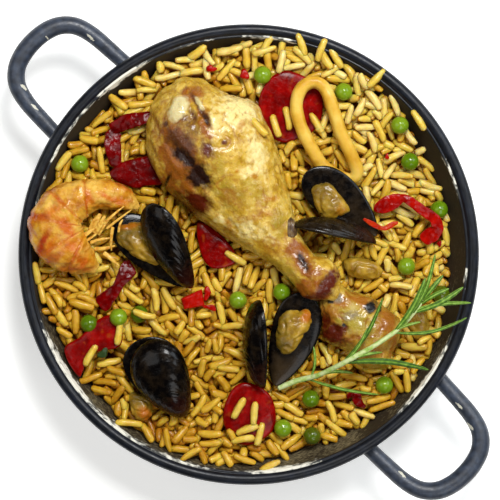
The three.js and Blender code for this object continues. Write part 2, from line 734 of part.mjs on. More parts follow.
// Needles: [share of the stem where it starts, plan offset of its tip, rise of its tip, half
// width, sideways bow].
const NEEDLES = [
  [0.34, [1, 14], 3, 0.8, -1.2],
  [0.36, [18.5, 1.4], -4, 1, 1.6],
  [0.3, [33, -7.6], -4, 0.8, -1.2],
  [0.53, [18.6, 30], 3, 1.1, -2.4],
  [0.54, [10.4, 15.6], 2, 0.9, -1.2],
  [0.55, [16, 4], 0.5, 0.9, 1],
  [0.54, [38.4, -3.4], -3, 1.7, 2.2],
  [0.72, [14, 24.6], 3, 1.7, -1.6],
  [0.74, [10.4, 3.6], 2.4, 0.8, 0.6],
  [0.72, [33.4, 6.6], -5, 1, -3],
  [0.84, [10.6, 28], 3, 1.1, -1.6],
  [0.88, [3.6, 13.4], 2, 0.9, -0.8],
  [0.87, [22, 11.4], 0, 1.7, -1.4],
  [0.9, [24.4, 2.6], -1, 1.1, 1],
  [0.94, [12.6, 7], 1.6, 1.2, 0.6],
  [0.97, [9.2, 11.6], 0.4, 1.3, 0.4],
];
const NEEDLE_THICK = 0.5;

function rosemary(grow = 0) {
  const places = STEM_KEYS.map(([x, y, z]) => vec(x, y, z));
  const stemPlaces = new THREE.CatmullRomCurve3(places, false, 'centripetal');
  let sprig = solidOf(sweep(between(STEM_KEYS, 8), 4, { grow }));
  for (const [share, [dx, dy], rise, half, bow] of NEEDLES) {
    const start = stemPlaces.getPoint(share);
    const reach = Math.hypot(dx, dy);
    const stations = [];
    for (const [t, fat] of [[0, 0.6], [0.45, 1], [1, 0.25]]) {
      const side = bow * Math.sin(Math.PI * t);
      stations.push([
        start.x + dx * t + (-dy / reach) * side,
        start.y + dy * t + (dx / reach) * side,
        start.z + rise * t + 1.2 * Math.sin(Math.PI * t),
        half * fat,
        NEEDLE_THICK * Math.max(fat, 0.6),
      ]);
    }
    sprig = sprig.add(solidOf(sweep(stations, 3, { grow })));
  }
  return sprig;
}

// ---------------------------------------------------------------- grains on the rice

// A small repeatable source of random numbers from 0 to 1.
function randomSource(seed) {
  let state = seed;
  return () => {
    state = (Math.imul(state, 1664525) + 1013904223) >>> 0;
    return state / 4294967296;
  };
}

// The rice with a grain on each cell that has room for one: full height, or half height near a
// topping, or none where the topping lies.
function riceWithGrains(keepClear) {
  const random = randomSource(7);
  const ridgeOf = ([a, b, c, d]) => {
    const heading = Math.PI * random();
    const square = Math.max(Math.abs(Math.cos(heading)), Math.abs(Math.sin(heading)));
    const [ds, dt] = [Math.cos(heading), Math.sin(heading)].map((w) => (w * GRAIN_REACH) / square);
    const tallness = 0.75 + 0.5 * random();
    const lean = 0.5 * (random() - 0.5);
    const under = (s, t) => a.clone().lerp(b, s).lerp(d.clone().lerp(c, s), t);
    for (const share of [1, 0.5]) {
      const ends = [1, -1].map((sign) => {
        const end = under(0.5 + sign * ds, 0.5 + sign * dt);
        end.z += GRAIN_HEIGHT * tallness * share * (1 + sign * lean);
        return end;
      });
      const foot = under(0.5, 0.5);
      foot.z -= GRAIN_HEIGHT;
      const tent = [a, b, c, d, ...ends, foot];
      const faces = roof([0, 1, 2, 3], tent, [4, 5]);
      for (let k = 0; k < 4; k++) faces.push([(k + 1) % 4, k, 6]);
      const bump = new THREE.BufferGeometry().setFromPoints(tent);
      bump.setIndex(faces.flat());
      if (solidOf(bump).intersect(keepClear).volume() === 0) return ends;
    }
    return null;
  };
  return riceSolid(1, 0, ridgeOf);
}

// ---------------------------------------------------------------- assembly

const COLOURS = {
  enamel: [0x2a2e38, 0.35, 0.3],
  rice: [0xd9ac32, 0.55, 0],
  chicken: [0xd8a94a, 0.5, 0],
  prawn: [0xe08a2a, 0.45, 0],
  shell: [0x14151a, 0.3, 0],
  meat: [0xc99a38, 0.5, 0],
  onion: [0x7a4a38, 0.4, 0],
  squid: [0xf0c060, 0.45, 0],
  chorizo: [0x8e1512, 0.45, 0],
  pepper: [0xb3120e, 0.35, 0],
  pea: [0x6aa318, 0.4, 0],
  herb: [0x4f7a2c, 0.6, 0],
};

const paella = new THREE.Group();

function addMesh(name, geometry, colour) {
  const [hex, roughness, metalness] = COLOURS[colour];
  const mesh = new THREE.Mesh(geometry, new THREE.MeshStandardMaterial({ color: hex, roughness, metalness }));
  mesh.name = name;
  paella.add(mesh);
  return mesh;
}

const panSolid = pan();
addMesh('pan', geometryOf(panSolid), 'enamel');
for (const [name, [turn, longer]] of Object.entries(HANDLES)) {
  addMesh(name, handleGeometry(longer), 'enamel').rotation.z = deg(turn);
}

const panGrown = [0, 1, 2, 3].reduce((sum, quarter) => {
  const shift = [Math.cos(quarter * Math.PI / 2) * GAP, Math.sin(quarter * Math.PI / 2) * GAP, GAP];
  return sum.add(panSolid.translate(shift));
}, panSolid);
const baseClear = riceSolid(CORE_STEP, GAP).add(panGrown);
let toppings = null; // every topping so far, grown by the gap

// Adds a topping cut clear of the rice core, the pan and the toppings before it.
function addTopping(name, make, colour) {
  const grown = make(GAP);
  let solid = make(0).subtract(baseClear);
  if (toppings) solid = solid.subtract(toppings);
  addMesh(name, geometryOf(mainBody(solid)), colour);
  toppings = toppings ? toppings.add(grown) : grown;
}

addTopping('onion_tip', (grow) => solidOf(lump(ONION_TIP, grow)), 'onion');
addTopping('drumstick', (grow) => solidOf(drumstick(grow)), 'chicken');
for (const [name, shape] of Object.entries(VALVES)) {
  addTopping(name, (grow) => solidOf(placedValve(shape, grow)), 'shell');
}
addTopping('chicken_thigh', (grow) => solidOf(thigh(grow)), 'chicken');
addTopping('prawn', (grow) => solidOf(prawn(grow)), 'prawn');
addTopping('squid_ring', (grow) => solidOf(squidRing(grow)), 'squid');
for (const [name, shape] of Object.entries(MEATS)) {
  addTopping(name, (grow) => solidOf(lump(shape, grow)), 'meat');
}
addTopping('rosemary_sprig', rosemary, 'herb');
PEAS.forEach((place, i) => {
  addTopping(`pea_${String(i + 1).padStart(2, '0')}`, (grow) => solidOf(pea(place, grow)), 'pea');
});
for (const [name, keys] of Object.entries(STRIPS)) {
  addTopping(name, (grow) => solidOf(strip(keys, grow)), 'pepper');
}
for (const [name, shape] of Object.entries(CUT_PIECES)) {
  const colour = name.startsWith('chorizo') ? 'chorizo' : 'pepper';
  addTopping(name, (grow) => solidOf(cutPiece(shape, grow)), colour);
}
for (const [name, shape] of Object.entries(CHORIZO_SLICES)) {
  addTopping(name, (grow) => solidOf(slice(shape, grow)), 'chorizo');
}

addMesh('rice', geometryOf(riceWithGrains(toppings.add(panSolid))), 'rice');

export default paella;
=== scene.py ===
"""A one-portion paella in its own two-handled enamelled pan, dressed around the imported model.

Shapes are worked out in millimetres, with +Z up and the origin under the middle of the pan, and
turned to metres when a piece is finished.
"""
import math

import bmesh
import bpy
import numpy as np
from bpy.props import FloatProperty, IntProperty, PointerProperty, StringProperty
from mathutils import Matrix, Vector, noise
from mathutils.bvhtree import BVHTree


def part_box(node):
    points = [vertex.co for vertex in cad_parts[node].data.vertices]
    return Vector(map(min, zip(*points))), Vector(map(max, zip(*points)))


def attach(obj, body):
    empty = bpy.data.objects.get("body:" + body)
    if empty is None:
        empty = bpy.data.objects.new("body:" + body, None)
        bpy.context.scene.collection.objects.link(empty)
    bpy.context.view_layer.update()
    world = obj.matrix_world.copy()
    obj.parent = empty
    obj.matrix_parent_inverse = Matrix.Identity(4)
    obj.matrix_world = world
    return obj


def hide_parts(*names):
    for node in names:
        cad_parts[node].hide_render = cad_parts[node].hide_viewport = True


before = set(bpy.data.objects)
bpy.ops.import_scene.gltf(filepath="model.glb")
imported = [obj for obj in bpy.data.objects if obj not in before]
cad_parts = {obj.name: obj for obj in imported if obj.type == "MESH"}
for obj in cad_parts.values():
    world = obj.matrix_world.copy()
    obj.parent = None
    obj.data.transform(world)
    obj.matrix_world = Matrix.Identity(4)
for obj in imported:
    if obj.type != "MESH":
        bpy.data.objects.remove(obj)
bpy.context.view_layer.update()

bl_info = {
    "name": "Paella in its pan",
    "version": (1, 0, 0),
    "blender": (4, 5, 0),
    "location": "3D View > Sidebar > Paella",
    "description": "Builds a one-portion paella in a two-handled enamelled pan",
    "category": "Add Mesh",
}
MM = 0.001  # one millimetre in metres


# ---------------------------------------------------------------- colours and nodes

def linear(hexcode):
    """An sRGB hex colour as linear red, green, blue and alpha."""
    parts = [int(hexcode[i:i + 2], 16) / 255 for i in (1, 3, 5)]
    return [c / 12.92 if c <= 0.04045 else ((c + 0.055) / 1.055) ** 2.4 for c in parts] + [1.0]


def add(tree, kind, inputs=None, stops=None, **settings):
    """Adds one node. `inputs` holds values or sockets, by input name or place; `stops` a ramp."""
    made = tree.nodes.new(kind)
    for key, value in settings.items():
        setattr(made, key, value)
    for key, value in (inputs or {}).items():
        if isinstance(value, bpy.types.NodeSocket):
            tree.links.new(value, made.inputs[key])
        else:
            made.inputs[key].default_value = value
    if stops:
        elements = made.color_ramp.elements
        while len(elements) < len(stops):
            elements.new(0.5)
        for element, (place, colour) in zip(elements, stops):
            element.position = place
            element.color = linear(colour) if isinstance(colour, str) else (colour,) * 3 + (1,)
    return made


def even_stops(colours, low=0.3, high=0.7):
    """Ramp stops that share a noise's usual range evenly."""
    return [(low + (high - low) * i / max(len(colours) - 1, 1), c) for i, c in enumerate(colours)]


TONE_NOISE = 0.3  # how far a noise shifts a tone that an attribute gives
MARK_NOISE = 0.9  # how far a noise frays the edge of a mark
COAT_ROUGHNESS = 0.12
DULLED = 0.42  # added to the roughness where a finish is dull
FLESH_RADII = (1.0, 0.62, 0.25)  # how far red, green and blue light travel in flesh


def surface(name, tones, patch=8.0, tone_attribute=None, marks=(), roughness=(0.35, 0.5), bumps=(),
            flesh=0.0, flesh_depth=1.5, coat=0.0, sheen=0.35, ior=1.38, stretch=None, glow=0.0,
            dull=None):
    """A material. Its `tones` vary over `patch` mm, or along `tone_attribute`. `marks` are layers
    over them: (attribute or even share, colour, sharpness, ragged size in mm). `bumps` are (size,
    height in mm, kind of noise). `stretch` names the attribute that all patterns follow, and
    `dull` the one that takes away gloss."""
    material = bpy.data.materials.new(name)
    material.use_nodes = True
    tree = material.node_tree
    tree.nodes.clear()
    output = add(tree, "ShaderNodeOutputMaterial")
    place = add(tree, "ShaderNodeTexCoord").outputs["Object"]
    if stretch:
        place = add(tree, "ShaderNodeAttribute", attribute_name=stretch).outputs["Vector"]
    patchy = add(tree, "ShaderNodeTexNoise", {"Vector": place, "Scale": 1 / (patch * MM), "Detail": 4.0})
    source = patchy.outputs["Fac"]
    if tone_attribute:
        own = add(tree, "ShaderNodeAttribute", attribute_name=tone_attribute).outputs["Fac"]
        spread = add(tree, "ShaderNodeMath", {0: source, 1: TONE_NOISE, 2: -TONE_NOISE / 2},
                     operation="MULTIPLY_ADD")
        source = add(tree, "ShaderNodeMath", {0: own, 1: spread.outputs[0]}).outputs[0]
    colour = add(tree, "ShaderNodeValToRGB", {"Fac": source}, stops=even_stops(tones)).outputs["Color"]
    for attribute, tint, sharpness, ragged in marks:
        mask = attribute if isinstance(attribute, float) else add(
            tree, "ShaderNodeAttribute", attribute_name=attribute).outputs["Fac"]
        edge = add(tree, "ShaderNodeTexNoise", {"Vector": place, "Scale": 1 / (ragged * MM), "Detail": 5.0})
        noisy = add(tree, "ShaderNodeMath", {0: edge.outputs["Fac"], 1: MARK_NOISE, 2: -MARK_NOISE / 2},
                    operation="MULTIPLY_ADD").outputs[0]
        worn = add(tree, "ShaderNodeMath", {0: mask, 1: noisy}).outputs[0]
        cut = add(tree, "ShaderNodeMapRange", {"Value": worn, "From Min": 0.5 - 0.5 / sharpness,
                                               "From Max": 0.5 + 0.5 / sharpness})
        colour = add(tree, "ShaderNodeMix", {0: cut.outputs[0], 6: colour, 7: linear(tint)},
                     data_type="RGBA").outputs[2]
    sockets = {"Base Color": colour, "IOR": ior, "Specular IOR Level": sheen, "Coat Weight": coat,
               "Coat Roughness": COAT_ROUGHNESS, "Subsurface Weight": flesh,
               "Subsurface Scale": flesh_depth * MM, "Subsurface Radius": FLESH_RADII}
    if glow:
        sockets.update({"Emission Color": colour, "Emission Strength": glow})
    shader = add(tree, "ShaderNodeBsdfPrincipled", sockets)
    wet = add(tree, "ShaderNodeTexNoise", {"Vector": place, "Scale": 1 / (patch * 0.4 * MM), "Detail": 3.0})
    shine = add(tree, "ShaderNodeMapRange", {"Value": wet.outputs["Fac"], "From Min": 0.35, "From Max": 0.65,
                                             "To Min": roughness[0], "To Max": roughness[1]})
    if dull:
        spread = add(tree, "ShaderNodeAttribute", attribute_name=dull).outputs["Fac"]
        shine = add(tree, "ShaderNodeMath", {0: spread, 1: DULLED, 2: shine.outputs[0]},
                    operation="MULTIPLY_ADD")
    tree.links.new(shine.outputs[0], shader.inputs["Roughness"])
    normal = None
    for size, height, *kind in bumps:
        grain = add(tree, "ShaderNodeTexNoise", {"Vector": place, "Scale": 1 / (size * MM), "Detail": 3.0},
                    noise_type=kind[0] if kind else "FBM")
        inputs = {"Height": grain.outputs["Fac"], "Distance": height * MM}
        if normal:
            inputs["Normal"] = normal
        normal = add(tree, "ShaderNodeBump", inputs).outputs["Normal"]
    if normal:
        tree.links.new(normal, shader.inputs["Normal"])
    tree.links.new(shader.outputs["BSDF"], output.inputs["Surface"])
    return material


# ---------------------------------------------------------------- paths, rings and skins

def smooth_rows(keys, count, closed=False):
    """Rows on a smooth curve through the key rows."""
    keys = np.array(keys, float)
    total = len(keys)
    spans = total if closed else total - 1
    rows = []
    for t in np.linspace(0, spans, count, endpoint=not closed):
        i = min(int(t), spans - 1)
        f = t - i
        picks = [(i + k) % total if closed else min(max(i + k, 0), total - 1) for k in (-1, 0, 1, 2)]
        a, b, c, d = keys[picks]
        rows.append(b + 0.5 * f * (c - a + f * (2 * a - 5 * b + 4 * c - d + f * (3 * (b - c) + d - a))))
    return np.array(rows)


def path_rings(stations, sides, closed=False, section=None):
    """Rings across a path of rows [x, y, z, half width, half height, twist in degrees]. `section`
    turns an angle to a point of the ring, and is a circle by default."""
    stations = np.array(stations, float)
    total = len(stations)
    rings = []
    for i, row in enumerate(stations):
        before = stations[(i - 1) % total if closed else max(i - 1, 0)]
        after = stations[(i + 1) % total if closed else min(i + 1, total - 1)]
        along = Vector(after[:3] - before[:3]).normalized()
        across = Vector((along.y, -along.x, 0)).normalized()
        up = across.cross(along).normalized()
        turn = math.radians(row[5]) if len(row) > 5 else 0
        side = across * math.cos(turn) + up * math.sin(turn)
        rise = up * math.cos(turn) - across * math.sin(turn)
        ring = []
        for k in range(sides):
            angle = math.tau * (k + 0.5) / sides
            u, v = section(angle) if section else (math.cos(angle), math.sin(angle))
            ring.append(Vector(row[:3]) + side * row[3] * u + rise * row[4] * v)
        rings.append(ring)
    return rings


def pillow_rings(outline, z, top, bottom, count=48, rounds=5, tilt=(0.0, 0.0), plump=0.5):
    """Rings of a soft lump with this outline in plan: from its underside over its edge to its top.
    `tilt` is the slope of its middle plane along x and y."""
    rim = smooth_rows(outline, count, closed=True)
    middle = rim.mean(axis=0)
    shares = [math.sin(math.pi / 2 * (k + 1) / rounds) for k in range(rounds)]
    levels = [(s, -bottom * (1 - s ** (1 / plump)) ** plump) for s in shares]
    levels += [(s, top * (1 - s ** (1 / plump)) ** plump) for s in reversed(shares[:-1])]
    rings = []
    for share, rise in levels:
        flat = middle + (rim - middle) * share
        lift = (flat - middle) @ np.array(tilt)
        rings.append([Vector((p[0], p[1], z + rise + q)) for p, q in zip(flat, lift)])
    return rings


def edges_of(verts):
    """The edges of a ring that has no faces yet, in the same order at each run."""
    return list(dict.fromkeys(edge for vert in verts for edge in vert.link_edges))


def bridge(bm, loops, closed=False):
    """Joins rings of edges by faces, and fills the two ends or joins them to each other."""
    pairs = list(zip(loops, loops[1:])) + ([(loops[-1], loops[0])] if closed else [])
    for before, after in pairs:
        bmesh.ops.bridge_loops(bm, edges=before + after)
    if not closed:
        for loop in (loops[0], loops[-1]):
            bmesh.ops.edgeloop_fill(bm, edges=loop)
    bmesh.ops.recalc_face_normals(bm, faces=bm.faces)


def skin(name, rings, closed=False, levels=2):
    """An object skinned over rings of one size, in millimetres, then smoothed."""
    bm = bmesh.new()
    loops = []
    for ring in rings:
        made = bmesh.ops.create_circle(bm, segments=len(ring), radius=1.0)["verts"]
        for vert, place in zip(made, ring):
            vert.co = place
        loops.append(edges_of(made))
    bridge(bm, loops, closed)
    return to_object(name, bm, levels)


def to_object(name, bm, levels=0):
    """Turns a bmesh to a smooth-shaded object, with its subdivision applied."""
    mesh = bpy.data.meshes.new(name)
    bm.to_mesh(mesh)
    bm.free()
    obj = bpy.data.objects.new(name, mesh)
    bpy.context.scene.collection.objects.link(obj)
    if levels:
        modifier = obj.modifiers.new("Smooth", "SUBSURF")
        modifier.levels = modifier.render_levels = levels
        graph = bpy.context.evaluated_depsgraph_get()
        obj.data = bpy.data.meshes.new_from_object(obj.evaluated_get(graph))
        obj.modifiers.clear()
        bpy.data.meshes.remove(mesh)
        obj.data.name = name
    obj.data.shade_smooth()
    return obj


def points_of(obj):
    """The vertices and their normals, one row each."""
    count = len(obj.data.vertices)
    places = np.empty(count * 3, np.float32)
    obj.data.vertices.foreach_get("co", places)
    normals = np.empty(count * 3, np.float32)
    obj.data.vertex_normals.foreach_get("vector", normals)
    return places.reshape(-1, 3).astype(float), normals.reshape(-1, 3).astype(float)


def set_points(obj, places):
    """Moves the vertices to these places."""
    obj.data.vertices.foreach_set("co", places.astype(np.float32).ravel())
    obj.data.update()


def push(obj, amount):
    """Moves each vertex out along its normal by `amount` mm, from its place and normal."""
    places, normals = points_of(obj)
    set_points(obj, places + normals * amount(places, normals)[:, None])


def rough(places, size, seed=0.0, octaves=1):
    """Smooth noise from about -1 to 1 at each place, its features `size` mm across."""
    shift = Vector((seed * 13.7, seed * -7.1, seed * 3.3))
    return np.array([noise.fractal(Vector(p) / size + shift, 1.0, 2.0, octaves) for p in places])


def spots(places, marks, ragged=0.25, size=5.0, seed=0.0):
    """How much each place lies in the marks [x, y, half length, half width, heading, strength]."""
    warp_x = rough(places, size, seed + 1) * ragged
    warp_y = rough(places, size, seed + 2) * ragged
    best = np.zeros(len(places))
    for x, y, length, width, heading, strength in marks:
        turn = math.radians(heading)
        dx, dy = places[:, 0] - x, places[:, 1] - y
        u = (dx * math.cos(turn) + dy * math.sin(turn)) / length + warp_x
        v = (dy * math.cos(turn) - dx * math.sin(turn)) / width + warp_y
        best = np.maximum(best, strength * np.clip(1.5 - np.hypot(u, v), 0, 1))
    return best


def store(obj, name, values, kind="FLOAT"):
    """Keeps values on the vertices for the material."""
    attribute = obj.data.attributes.new(name, kind, "POINT")
    attribute.data.foreach_set("vector" if kind == "FLOAT_VECTOR" else "value",
                               np.asarray(values, np.float32).ravel())


def join(parts):
    """Joins all parts to the first one."""
    with bpy.context.temp_override(active_object=parts[0], selected_editable_objects=parts):
        bpy.ops.object.join()
    return parts[0]


def serve(obj, material, slot, *nodes):
    """Turns a finished piece to metres, gives it its finish and sets it on the pan."""
    if slot not in ("enamel", "rice"):
        obj["topping"] = True  # the rice is laid round these
    obj.data.transform(Matrix.Scale(MM, 4))
    obj.data.materials.clear()
    obj.data.materials.append(material)
    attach(obj, "root")
    if nodes:
        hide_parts(*nodes)


# ---------------------------------------------------------------- pan

WORN_LIP = [  # angle of the middle, half the angle, strength, width in mm
    (126, 9, 1.0, 2.6), (146, 16, 0.62, 1.2), (168, 10, 0.6, 1.2), (106, 8, 0.55, 1.0),
    (83, 8, 0.8, 2.6), (21, 6, 0.8, 1.6), (-6, 3, 0.7, 1.4), (213, 15, 0.9, 3.4),
    (233, 10, 0.8, 3.0), (252, 12, 0.6, 2.2), (279, 11, 1.0, 3.0), (325, 12, 1.0, 2.6),
]


def bent(a, b, c, steps):
    """Points of the smooth bend from a to c that heads for b."""
    rows = []
    for i in range(steps + 1):
        t = i / steps
        rows.append([(1 - t) ** 2 * a[k] + 2 * t * (1 - t) * b[k] + t * t * c[k] for k in (0, 1)])
    return rows


def wall_radius(z, sizes):
    """Inside radius of the wall at a height."""
    rise = (z - sizes.wall_foot_z) / (sizes.wall_top_z - sizes.wall_foot_z)
    return sizes.wall_foot_radius + (sizes.wall_top_radius - sizes.wall_foot_radius) * rise


BEND_TOP = 7.0  # height at which the bend at the wall's foot ends
LIP_SECTION = [  # radius and height, from the bead in over the lip to the wall
    [99.9, 38.32], [99.62, 38.42], [99.3, 38.46], [99.0, 38.36], [98.84, 38.1]]
LIP_TOP = (99.3, 38.4)  # radius and height of its crest, which is worn most
BEAD_FOOT = 99.95  # radius at which the bead starts
INNER_EDGE = 99.2  # radius inside which broth and oil have dulled the enamel
INNER_FADE = 0.8  # width over which that sets in
SPIN_STEPS = 480


def pan_profile(sizes):
    """Half of the pan's section, from the axis under its base round to the axis inside it."""
    skin_out = sizes.sheet * 1.1  # the sheet, measured level through the sloping wall
    foot = [wall_radius(BEND_TOP, sizes) + skin_out, BEND_TOP]
    corner = [wall_radius(0, sizes) + skin_out, 0.0]
    bead = [sizes.rim_radius - sizes.bead_radius, sizes.height - sizes.bead_radius]
    rows = [[0, 0], [30, 0], [60, 0], *bent([corner[0] - BEND_TOP, 0], corner, foot, 8)]
    # the wall's outside, the rolled bead, then the lip and the wall's inside, finer where it is bare
    rows += [[wall_radius(z, sizes) + skin_out, z] for z in np.linspace(9, 34.4, 10)]
    for angle in np.linspace(-105, 150, 34):
        turn = math.radians(angle)
        rows.append([bead[0] + sizes.bead_radius * math.cos(turn),
                     bead[1] + sizes.bead_radius * math.sin(turn)])
    rows += LIP_SECTION
    rows += [[wall_radius(z, sizes), z] for z in np.linspace(37.7, 28, 26)]
    rows += [[wall_radius(z, sizes), z] for z in np.linspace(25, 9, 5)]
    inner_corner = [wall_radius(sizes.sheet, sizes), sizes.sheet]
    rows += bent([wall_radius(BEND_TOP, sizes), BEND_TOP], inner_corner,
                 [inner_corner[0] - 6, sizes.sheet], 6)
    return rows + [[60, sizes.sheet], [30, sizes.sheet], [0, sizes.sheet]]


def pan_piece(sizes):
    """The pan, spun from its section, with its wear and stains."""
    bm = bmesh.new()
    profile = [bm.verts.new((r, 0, z)) for r, z in pan_profile(sizes)]
    edges = [bm.edges.new(pair) for pair in zip(profile, profile[1:])]
    bmesh.ops.spin(bm, geom=profile + edges, axis=(0, 0, 1), cent=(0, 0, 0), angle=math.tau,
                   steps=SPIN_STEPS, use_merge=True)
    bmesh.ops.remove_doubles(bm, verts=bm.verts, dist=0.01)
    bmesh.ops.recalc_face_normals(bm, faces=bm.faces)
    pan = to_object("enamel_pan", bm)
    places, normals = points_of(pan)
    turn = np.arctan2(places[:, 1], places[:, 0])
    radius = np.hypot(places[:, 0], places[:, 1])
    depth = np.hypot(radius - LIP_TOP[0], places[:, 2] - LIP_TOP[1])
    worn = np.zeros(len(places))
    fray = 1 + 0.5 * rough(places, 7, 8) + 0.2 * rough(places, 2.6, 9)
    for middle, half, strength, width in WORN_LIP:
        off = np.abs((np.degrees(turn) - middle + 180) % 360 - 180) / half
        reach = np.clip(1.35 - off, 0, 1) * np.clip(1.45 - depth / (width * fray), 0, 1)
        worn = np.maximum(worn, strength * reach * (radius < BEAD_FOOT) * (0.8 + 0.2 * fray))
    store(pan, "worn", np.where(worn > 0.05, 0.2 + 0.46 * worn, 0))
    inner = np.clip((INNER_EDGE - radius) / INNER_FADE, 0, 1) * (normals[:, 2] > 0)
    specks = np.clip(0.24 - 0.2 * np.sin(turn) + 0.2 * rough(places, 14, 10), 0, 0.5)
    store(pan, "inner", inner)
    store(pan, "speckled", inner * specks)
    around = [np.cos(turn) * 0.04, np.sin(turn) * 0.04, (radius + places[:, 2]) * MM]
    store(pan, "around", np.stack(around, axis=1), "FLOAT_VECTOR")
    serve(pan, surface(
        # vitreous enamel: dipped and fired, glossy, blue-black, rubbed to its pale ground at the lip
        "black_enamel", ["#0A0C11", "#10131A", "#181D28"], patch=2.2, roughness=(0.3, 0.44),
        marks=[("inner", "#2C2212", 3.0, 9.0), ("speckled", "#7A6E50", 4.0, 0.7),
               ("worn", "#54544C", 3.0, 2.4), ("worn", "#E8E4D4", 7.0, 1.5)],
        bumps=[(1.4, 0.014)], sheen=0.3, ior=1.5, stretch="around", dull="inner"), "enamel", "pan")


HANDLE_PATH = [  # distance out from the pan's axis, distance from the handle's own axis
    [95.6, 23.0], [101, 22.8], [112, 22.3], [122, 21.5], [130, 19], [135.4, 13.8], [138, 7], [138.7, 0]]
ROD_FOOT = 95.6  # distance out at which the rod meets the wall
ROD_LEVEL = 98.0  # distance out at which it starts to rise
ROD_RUN = 40.7  # from there to the middle of the grip
ROD_HEIGHT = 29  # of its middle where it meets the wall
ROD_RISE = 4  # from there to the grip
ROD_FILLET = 0.9  # added to the rod's radius at the wall
FILLET_LENGTH = 5
CHIPPED_ABOVE = 30  # only the rod's upper side is chipped
GRIP_SWELL = 0.67  # added to the rod's radius at the grip
ROD_CHIPS = [  # distance out, distance along, half length, half width, strength
    (117, 20.5, 3, 0.8, 0.85), (127, 17.5, 2.6, 0.9, 0.9), (121, -20, 3.4, 0.8, 0.8), (135, -6, 2, 0.7, 0.7)]


def rod_material():
    # the same enamel on the bent rod: slightly duller, with pinholes and small chips
    return surface("rod_enamel", ["#20252F", "#2D3441", "#3A4353"], patch=3.0, roughness=(0.36, 0.52),
                   marks=[("chipped", "#CFCBB8", 10.0, 0.9)], bumps=[(1.1, 0.04)], sheen=0.6, ior=1.5)


def handle_piece(name, node, turn_degrees, longer, sizes, enamel):
    """A bent rod with chipped enamel. `longer` sets its grip further out."""
    half = [np.array(p, float) for p in HANDLE_PATH]
    route = half + [p * (1, -1) for p in reversed(half[:-1])]
    turn = math.radians(turn_degrees)
    keys = []
    for a, b in route:
        reach = min(max((a - ROD_LEVEL) / ROD_RUN, 0), 1)
        flare = ROD_FILLET * max(0.0, 1 - (a - ROD_FOOT) / FILLET_LENGTH) ** 2
        radius = sizes.rod_radius + GRIP_SWELL * reach ** 2 + flare
        a += longer * reach ** 0.3 if reach else 0
        keys.append([a * math.cos(turn) - b * math.sin(turn), a * math.sin(turn) + b * math.cos(turn),
                     ROD_HEIGHT + ROD_RISE * reach, radius, radius])
    handle = skin(name, path_rings(smooth_rows(keys, 60), 20), levels=1)
    places, _ = points_of(handle)
    push(handle, lambda p, n: 0.06 * rough(p, 9, 3) + 0.03 * rough(p, 2.5, 4))
    out = places[:, :2] @ np.array([math.cos(turn), math.sin(turn)])
    side = places[:, :2] @ np.array([-math.sin(turn), math.cos(turn)])
    chipped = np.zeros(len(places))
    for a, b, length, width, strength in ROD_CHIPS:
        off = np.hypot((out - a) / length, (side - b) / width)
        chipped = np.maximum(chipped, strength * np.clip(1.3 - off, 0, 1) * (places[:, 2] > CHIPPED_ABOVE))
    store(handle, "chipped", chipped)
    serve(handle, enamel, "enamel", node)


# ---------------------------------------------------------------- chicken

